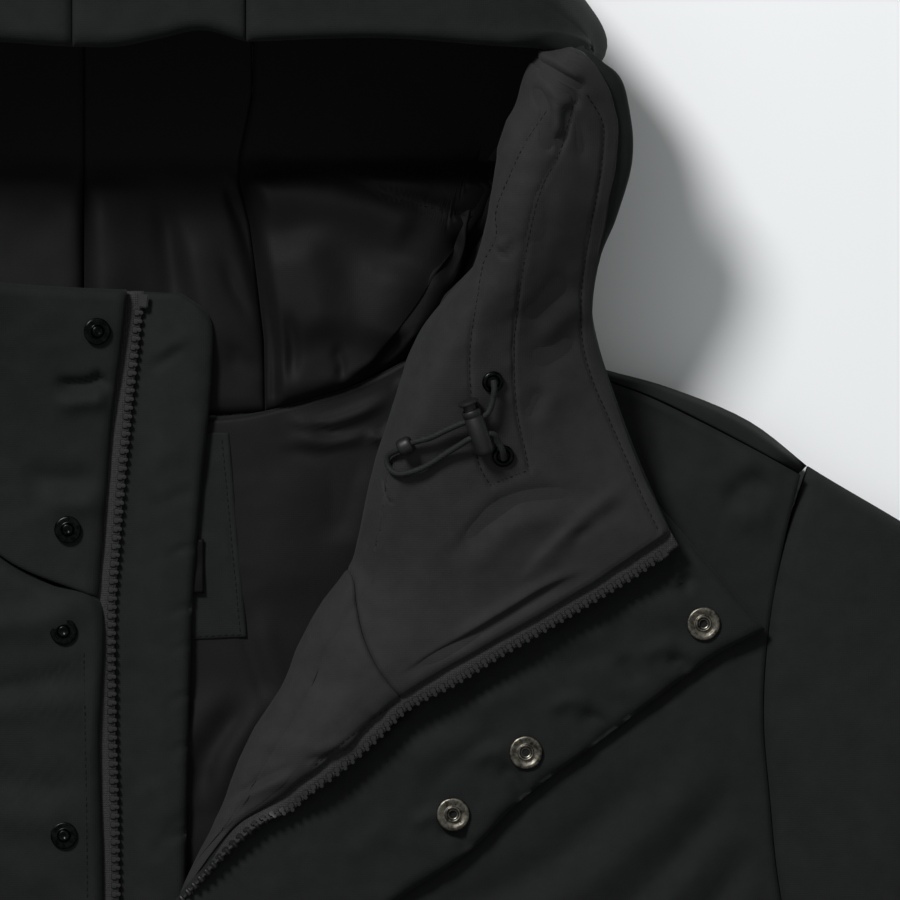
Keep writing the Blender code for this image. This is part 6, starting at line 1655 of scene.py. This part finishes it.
@dataclass
class Zip:
    """Both halves of the zip: tape, moulded teeth, stops, box, slider and pull tab."""

    finishes: Finishes
    tooth_long: float = 4.0
    tooth_wide: float = 2.7
    tooth_thick: float = 2.6
    in_seam: float = 4.6            # of each tape, under the front's edge

    def span(self, y: np.ndarray | float) -> np.ndarray | float:
        """How far a tape reaches past its seam: pulled in at the collar, flat below."""
        return np.interp(y, (-150.0, -20.0), (ZIP_WIDTH * 0.85, 5.7))

    def right_rows(self) -> np.ndarray:
        """Control grid of the right tape: from the seam to the chain."""
        inner = spline([(x + SEAM_GAP, y) for x, y in ZIP_EDGE_RIGHT], 18)
        inner[0, 1] = HEM_Y + 17.6
        z = WIND_GUARD_TOP + SEAM_GAP + ZIP_THICK / 2
        grid = np.zeros((18, 3, 3))
        span = self.span(inner[:, 1]) + self.in_seam
        for k in range(3):
            grid[:, k, 0] = inner[:, 0] - self.in_seam + span * k / 2
            grid[:, k, 1] = inner[:, 1]
        grid[..., 2] = z
        return grid

    def left_rows(self, turned: np.ndarray) -> np.ndarray:
        """Control grid of the left tape: from the seam to the chain, hem to top."""
        rows = []
        for x, y in FRONT_EDGE_LEFT[:-1]:
            rows.append((np.array((x - SEAM_GAP, y, FRONT_EDGE_MID)), np.array((-1.0, 0, 0))))
        for row in turned[:-1]:
            ahead = (row[0] - row[1]) / np.linalg.norm(row[0] - row[1])
            rows.append((row[0] + ahead * ZIP_LEAD, ahead))
        out = np.array((0.5, -0.87, 0.0))
        for x, y in ZIP_EDGE_LEFT:
            rows.append((np.array((x, y, LAPEL_MID)) + out * SEAM_GAP, out))
        return np.array([[p + ahead * (-self.in_seam + (self.span(p[1]) + self.in_seam) * k / 2) for k in range(3)]
                         for p, ahead in rows])

    def build(self) -> None:
        """Make both halves and their fittings."""
        turned = Fronts(self.finishes).left_grids()[1]
        for name, grid, rows in (("right", self.right_rows(), 380), ("left", self.left_rows(turned), 420)):
            fine = refine(grid, rows, 9)
            way = normals(fine)
            if name == "right" and way[0, 0, 2] < 0 or name == "left" and way[-3, 0, 2] < 0:
                way = -way
            if name == "left":
                # On the lapel the tape is sewn level with the facing
                fine = fine + way * (2.1 * np.clip((plan(fine)[..., 1] - 30) / 30, 0, 1))[..., None]
            bead = 0.35 * np.exp(-((np.linspace(0, 1, 9)[None, :] - 0.62) / 0.12) ** 2)
            upper = fine + way * (0.45 + bead)[..., None]
            lower = fine - way * 0.45
            tape = settle(wall(f"zip_tape_{name}", upper, lower, self.finishes.tape), (f"zip_{name}",))
            self.teeth(name, fine, way, 3.5 if name == "right" else 3.9)
        self.fittings()

    def tooth(self) -> tuple[np.ndarray, list]:
        """One moulded tooth: its length along x towards the mating side, its pitch along y."""
        outline = []
        head, neck, body = 1.0, 0.6, self.tooth_wide / 2
        tip = self.tooth_long
        for k in range(9):
            angle = -math.pi * 0.72 + 2 * math.pi * 0.72 * k / 8
            outline.append((tip - head + head * math.cos(angle), head * math.sin(angle)))
        outline += [(tip - 1.85, neck), (tip - 2.15, body), (0.5, body), (0.0, body - 0.4), (0.0, 0.4 - body),
                    (0.5, -body), (tip - 2.15, -body), (tip - 1.85, -neck)]
        outline = np.array(outline)
        middle = np.array((self.tooth_long / 2, 0.0))
        half = self.tooth_thick / 2
        layers = ((-half, 0.78), (-half + 0.35, 1.0), (half - 0.45, 1.0), (half, 0.8))
        points, faces = [], []
        count = len(outline)
        for z, size in layers:
            ring = middle + (outline - middle) * (1 - (1 - size) * np.array((0.55, 1.0)))
            points += [(x, y, z) for x, y in ring]
        for level in range(len(layers) - 1):
            for k in range(count):
                n = (k + 1) % count
                a = level * count
                faces.append([a + k, a + n, a + count + n, a + count + k])
        top = len(points)
        points.append((self.tooth_long / 2, 0.0, half + 0.12))
        points.append((self.tooth_long / 2, 0.0, -half))
        last = (len(layers) - 1) * count
        for k in range(count):
            n = (k + 1) % count
            faces.append([last + k, last + n, top])
            faces.append([n, k, top + 1])
        return np.array(points), faces

    def teeth(self, name: str, tape: np.ndarray, way: np.ndarray, pitch: float) -> None:
        """A chain of teeth along the outer edge of a tape, from the stop down.

        Args:
            name: which half.
            tape: its fine grid.
            way: its upward normals.
            pitch: from one tooth to the next.
        """
        edge, inside = tape[:, -1], tape[:, -3]
        up = way[:, -1]
        run = np.concatenate([[0.0], np.cumsum(np.linalg.norm(np.diff(edge, axis=0), axis=1))])
        from_top = 8.8
        count = int((run[-1] - from_top - 3.0) / pitch)
        shape, shape_faces = self.tooth()
        points, faces = [], []
        for n in range(count):
            at = run[-1] - from_top - n * pitch
            p, q, normal = (np.array([np.interp(at, run, line[:, k]) for k in range(3)]) for line in (edge, inside, up))
            across = (p - q) / np.linalg.norm(p - q)
            normal = normal - across * normal.dot(across)
            normal /= np.linalg.norm(normal)
            along = np.cross(normal, across)
            base = p - across * (self.tooth_long - 1.0)
            placed = base + shape[:, :1] * across + shape[:, 1:2] * along + shape[:, 2:] * normal
            start = len(points) * len(shape)
            points.append(placed)
            faces += [[start + k for k in face] for face in shape_faces]
        piece = add_mesh(f"zip_teeth_{name}", np.vstack(points), faces, self.finishes.plastic, 50)
        settle(piece)

    def fittings(self) -> None:
        """Better finishes for the box, slider, pull tab and stops, which keep their own shapes."""
        for node, material in (("zip_box", self.finishes.black_metal), ("zip_slider", self.finishes.black_metal),
                               ("zip_pull", self.finishes.black_metal), ("zip_stop_left", self.finishes.plastic),
                               ("zip_stop_right", self.finishes.plastic)):
            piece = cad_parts[node]
            piece.data.materials.clear()
            piece.data.materials.append(material)


@dataclass
class Drawcord:
    """Eyelets, cord, bead and cord lock on the facing."""

    finishes: Finishes
    barrel_radius: float = 3.9
    barrel_start: float = 4.1
    rim_radius: float = 4.1

    def build(self) -> None:
        """Make the cord and what is on it."""
        for n in (1, 2):
            self.eyelet(f"eyelet_{n}")
        beads = [self.bead(), *self.lock()]
        self.cord()

    def eyelet(self, node: str) -> None:
        """A rolled metal eyelet."""
        centre, axis = node_pose(node)
        r = 4.4
        profile = ((2.15, 0.0), (2.3, -0.2), (r - 0.3, -0.1), (r, 0.15), (r - 0.05, 0.5), (r - 0.35, 0.85),
                   (r - 0.8, 1.08), (r - 1.3, 1.08), (r - 1.75, 0.8), (2.25, 0.4))
        points, faces = turned_mesh(profile, centre, axis, 48)
        settle(add_mesh(f"{node}_rolled", points, faces, self.finishes.black_metal, 50), (node,))

    def bead(self) -> bpy.types.Object:
        """The moulded bead on the loop's upper strand."""
        low, high = (np.array(v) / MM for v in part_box("cord_bead"))
        centre = (low + high) / 2
        way = np.array((-0.885, -0.443, -0.2))
        way /= np.linalg.norm(way)
        profile = ((1.35, 0.3), (1.9, 0.0), (2.8, 0.15), (3.35, 0.8), (3.55, 2.0), (3.55, 4.0), (3.35, 5.2),
                   (2.8, 5.85), (1.9, 6.0), (1.35, 5.7))
        points, faces = turned_mesh(profile, centre - way * 3.0, way, 36)
        return settle(add_mesh("cord_bead_moulded", points, faces, self.finishes.plastic, 50),
                      ("cord_bead",))

    def lock(self) -> list[bpy.types.Object]:
        """The cord lock's barrel and its spring button."""
        top, foot = np.array(LOCK_TOP), np.array(LOCK_FOOT)
        length = float(np.linalg.norm(foot - top))
        start, r = self.barrel_start, self.barrel_radius
        barrel = ((2.9, start + 0.3), (3.2, start), (r - 0.3, start), (r, start + 0.4), (r, start + 2.2),
                  (r - 0.25, start + 2.5), (r - 0.25, start + 3.0), (r, start + 3.3), (r, length - 2.4),
                  (r - 0.3, length - 0.9), (r - 1.1, length - 0.1), (0.0, length), (0.0, start + 12.0),
                  (2.9, start + 12.0))
        button = ((0.0, 0.0), (2.6, 0.0), (3.5, 0.12), (self.rim_radius, 0.55), (self.rim_radius, 1.15),
                  (3.7, 1.55), (2.6, 1.6), (2.55, 11.5), (0.0, 11.5))
        points, faces = turned_mesh(barrel, top, foot - top, 48)
        body = settle(add_mesh("cord_lock_body", points, faces, self.finishes.plastic, 40),
                      ("cord_lock_barrel",))
        points, faces = turned_mesh(button, top, foot - top, 48)
        press = settle(add_mesh("cord_lock_press", points, faces, self.finishes.plastic, 40),
                       ("cord_lock_button",), BUTTON)
        return [body, press]

    def cord(self) -> None:
        """The cord from eyelet to eyelet, through the lock and the bead."""
        line = spline(CORD_ROUTE, 150)
        curve = bpy.data.curves.new("drawcord", "CURVE")
        curve.dimensions = "3D"
        curve.bevel_depth = CORD_RADIUS * MM
        curve.bevel_resolution = 5
        curve.use_fill_caps = True
        path = curve.splines.new("POLY")
        path.points.add(len(line) - 1)
        for point, place in zip(path.points, line):
            point.co = (*(place * MM), 1.0)
        curve.materials.append(self.finishes.braid)
        piece = bpy.data.objects.new("drawcord", curve)
        bpy.context.scene.collection.objects.link(piece)
        settle(piece, ("cord_upper", "cord_loop", "cord_lower"))


# ---------------------------------------------------------------- sewing

@dataclass
class Sewing:
    """Rows of stitches laid on the finished cloth."""

    finishes: Finishes
    pitch: float = 2.6
    long: float = 1.9
    thick: float = 0.36

    def row(self, line: Sequence, surface: BVHTree, sunk: float = 0.12) -> tuple[np.ndarray, list]:
        """Stitches along a plan line, on top of a surface.

        Args:
            line: plan points.
            surface: the cloth's faces in millimetres.
            sunk: how deep the thread lies in the cloth.

        Returns:
            Points and faces.
        """
        path = spline(line, 12 * len(line)) if len(line) > 2 else np.asarray(line, float)
        total = np.linalg.norm(np.diff(path, axis=0), axis=1).sum()
        count = int(total / self.pitch)
        places = even(path, count * 2 + 1)
        rng = np.random.default_rng(len(line) + count)
        points, faces = [], []
        for n in range(count):
            ends = []
            for at in (places[2 * n], places[2 * n + 1]):
                spot = at + rng.normal(0, 0.06, 2)
                eye = Vector((VIEW_X, VIEW_Y, VIEW_HEIGHT))
                goal = Vector((spot[0], spot[1], PLAN_HEIGHT))
                hit, normal, _, _ = surface.ray_cast(eye, (goal - eye).normalized())
                if hit is None:
                    break
                ends.append((np.array(hit), np.array(normal)))
            if len(ends) < 2 or np.linalg.norm(ends[0][0] - ends[1][0]) > 3 * self.pitch:
                continue
            (a, na), (b, nb) = ends
            up = na + nb
            up /= np.linalg.norm(up)
            way = (b - a) / max(np.linalg.norm(b - a), 1e-6)
            middle = (a + b) / 2 + up * (self.thick / 2 - sunk)
            side = np.cross(way, up)
            base = sum(len(p) for p in points)
            rings = ((-0.5, 0.35), (-0.3, 0.95), (0.0, 1.1), (0.3, 0.95), (0.5, 0.35))
            ring_points = []
            for along, wide in rings:
                for k in range(6):
                    angle = math.pi * k / 3
                    ring_points.append(middle + way * self.long * along - up * (0.25 * abs(along) ** 2)
                                       + (side * math.cos(angle) + up * math.sin(angle)) * self.thick / 2 * wide)
            points.append(np.array(ring_points))
            for r in range(4):
                for k in range(6):
                    m = (k + 1) % 6
                    faces.append([base + r * 6 + k, base + r * 6 + m, base + r * 6 + 6 + m, base + r * 6 + 6 + k])
            faces.append([base + k for k in range(5, -1, -1)])
            faces.append([base + 24 + k for k in range(6)])
        return (np.vstack(points) if points else np.zeros((0, 3))), faces

    def sew(self, name: str, lines: Sequence, pieces: Sequence[str]) -> None:
        """One object with all the stitches of some lines.

        Args:
            name: the piece's name.
            lines: plan lines.
            pieces: the cloth they lie on.
        """
        surface = cloth_tree(pieces)
        points, faces, base = [], [], 0
        for line in lines:
            more, more_faces = self.row(line, surface)
            points.append(more)
            faces += [[base + k for k in face] for face in more_faces]
            base += len(more)
        if faces:
            settle(add_mesh(name, np.vstack(points), faces, self.finishes.thread))

    def build(self) -> None:
        """All the rows that show."""
        self.sew("facing_stitches", [g.line for g in Facing.relief().grooves],
                 ["hood_facing_cloth", "front_facing_cloth"])
        self.sew("patch_stitches", [((22.8, 214), (30.2, 136.2)), ((30.2, 136.2), (-30, 133.4))],
                 ["neck_patch_cloth"])
        self.sew("front_stitches", [((-31, -440), (-31, 30), (-32.5, 130))], ["front_right_cloth", "storm_flap_cloth"])
        self.sew("hem_stitches", [((-290, -448), (-150, -448), (-62, -448)), ((4, -448), (150, -448), (290, -448))],
                 ["front_right_cloth", "front_left_cloth"])
        lining = ((30, 318), (54, 320), (70, 318), (94, 310), (124, 303))
        self.sew("lining_stitches", [lining], ["hood_lining_left_cloth", "hood_lining_centre_cloth"])


def cloth_tree(names: Sequence[str]) -> BVHTree:
    """Faces of some cloth pieces in millimetres, to lay things on."""
    points, faces = [], []
    for name in names:
        mesh = bpy.data.objects[name].data
        base = len(points)
        points += [Vector(v.co) / MM for v in mesh.vertices]
        faces += [[base + k for k in face.vertices] for face in mesh.polygons]
    return BVHTree.FromPolygons(points, faces)


@dataclass
class Studio:
    """Camera, pale floor and soft light."""

    key_energy: float = 67.0
    fill_low: float = 0.05          # at the horizon
    fill_high: float = 0.41         # overhead
    key_size: float = 0.6
    key_distance: float = 2.6
    key_height: float = 42.5        # degrees over the floor
    floor_size: float = 8.0

    def camera(self) -> None:
        """A long lens straight above the open collar."""
        camera = bpy.data.objects.new("camera", bpy.data.cameras.new("camera"))
        camera.location = (VIEW_X * MM, VIEW_Y * MM, VIEW_HEIGHT * MM)
        camera.data.sensor_width = SENSOR
        camera.data.lens = SENSOR * (VIEW_HEIGHT - PLAN_HEIGHT) / VIEW_WIDTH
        bpy.context.scene.collection.objects.link(camera)
        bpy.context.scene.camera = camera
        bpy.context.scene.view_settings.view_transform = "Standard"

    def light(self) -> None:
        """A soft key from the upper left and a fill from overhead."""
        way = Vector((-0.593, 0.805, 0.0)).normalized()
        rise = math.radians(self.key_height)
        place = way * math.cos(rise) * self.key_distance + Vector((0, 0, math.sin(rise) * self.key_distance))
        target = Vector((0.2, 0.15, 0.03))
        lamp = bpy.data.lights.new("key_light", "AREA")
        lamp.shape = "DISK"
        lamp.size = self.key_size
        lamp.energy = self.key_energy
        key = bpy.data.objects.new("key_light", lamp)
        key.location = target + place
        key.rotation_mode = "QUATERNION"
        key.rotation_quaternion = (-place).to_track_quat("-Z", "Y")
        bpy.context.scene.collection.objects.link(key)
        world = bpy.data.worlds.new("studio")
        world.use_nodes = True
        tree = world.node_tree
        where = add_node(tree, "ShaderNodeTexCoord").outputs["Generated"]
        parts = add_node(tree, "ShaderNodeSeparateXYZ", Vector=where)
        ceiling = add_node(tree, "ShaderNodeMapRange", {"interpolation_type": "SMOOTHSTEP"}, Value=parts.outputs["Z"],
                           From_Min=0.1, From_Max=0.85, To_Min=self.fill_low, To_Max=self.fill_high)
        sky = tree.nodes["Background"]
        sky.inputs["Color"].default_value = (0.97, 1.0, 0.985, 1.0)
        tree.links.new(ceiling.outputs[0], sky.inputs["Strength"])
        bpy.context.scene.world = world

    def floor(self) -> None:
        """A plain pale floor just under the jacket."""
        half = self.floor_size / 2 / MM
        points = np.array(((-half, -half, -0.4), (half, -half, -0.4), (half, half, -0.4), (-half, half, -0.4)))
        material, tree, shader = new_material("matt_white_board")
        where = add_node(tree, "ShaderNodeTexCoord").outputs["Object"]
        grain = add_node(tree, "ShaderNodeTexNoise", Vector=where, Scale=3.0, Detail=2.0)
        tone = add_node(tree, "ShaderNodeMix", {"data_type": "RGBA"}, in0=grain.outputs["Fac"],
                        in6=linear("#e9ebed"), in7=linear("#ebecee"))
        tree.links.new(tone.outputs[2], shader.inputs["Base Color"])
        shader.inputs["Roughness"].default_value = 0.9
        shader.inputs["Specular IOR Level"].default_value = 0.1
        floor = add_mesh("floor", points, [[0, 1, 2, 3]], material)
        if floor.data.polygons[0].normal.z < 0:
            floor.data.flip_normals()


def main() -> None:
    """Build the studio and the jacket, piece by piece."""
    logging.basicConfig(level=logging.INFO, format="%(name)s %(message)s")
    studio = Studio()
    studio.camera()
    finishes = Finishes.make()
    Drawcord(finishes).build()
    Back(finishes).build()
    hood = Hood(finishes)
    hood.build()
    fronts = Fronts(finishes)
    fronts.build()
    Facing(finishes, hood.left_wall, fronts.lapel_wall).build()
    Sleeves(finishes).build()
    Zip(finishes).build()
    Snaps(finishes).build()
    Sewing(finishes).build()
    studio.light()
    studio.floor()


if __name__ == "__main__":
    main()
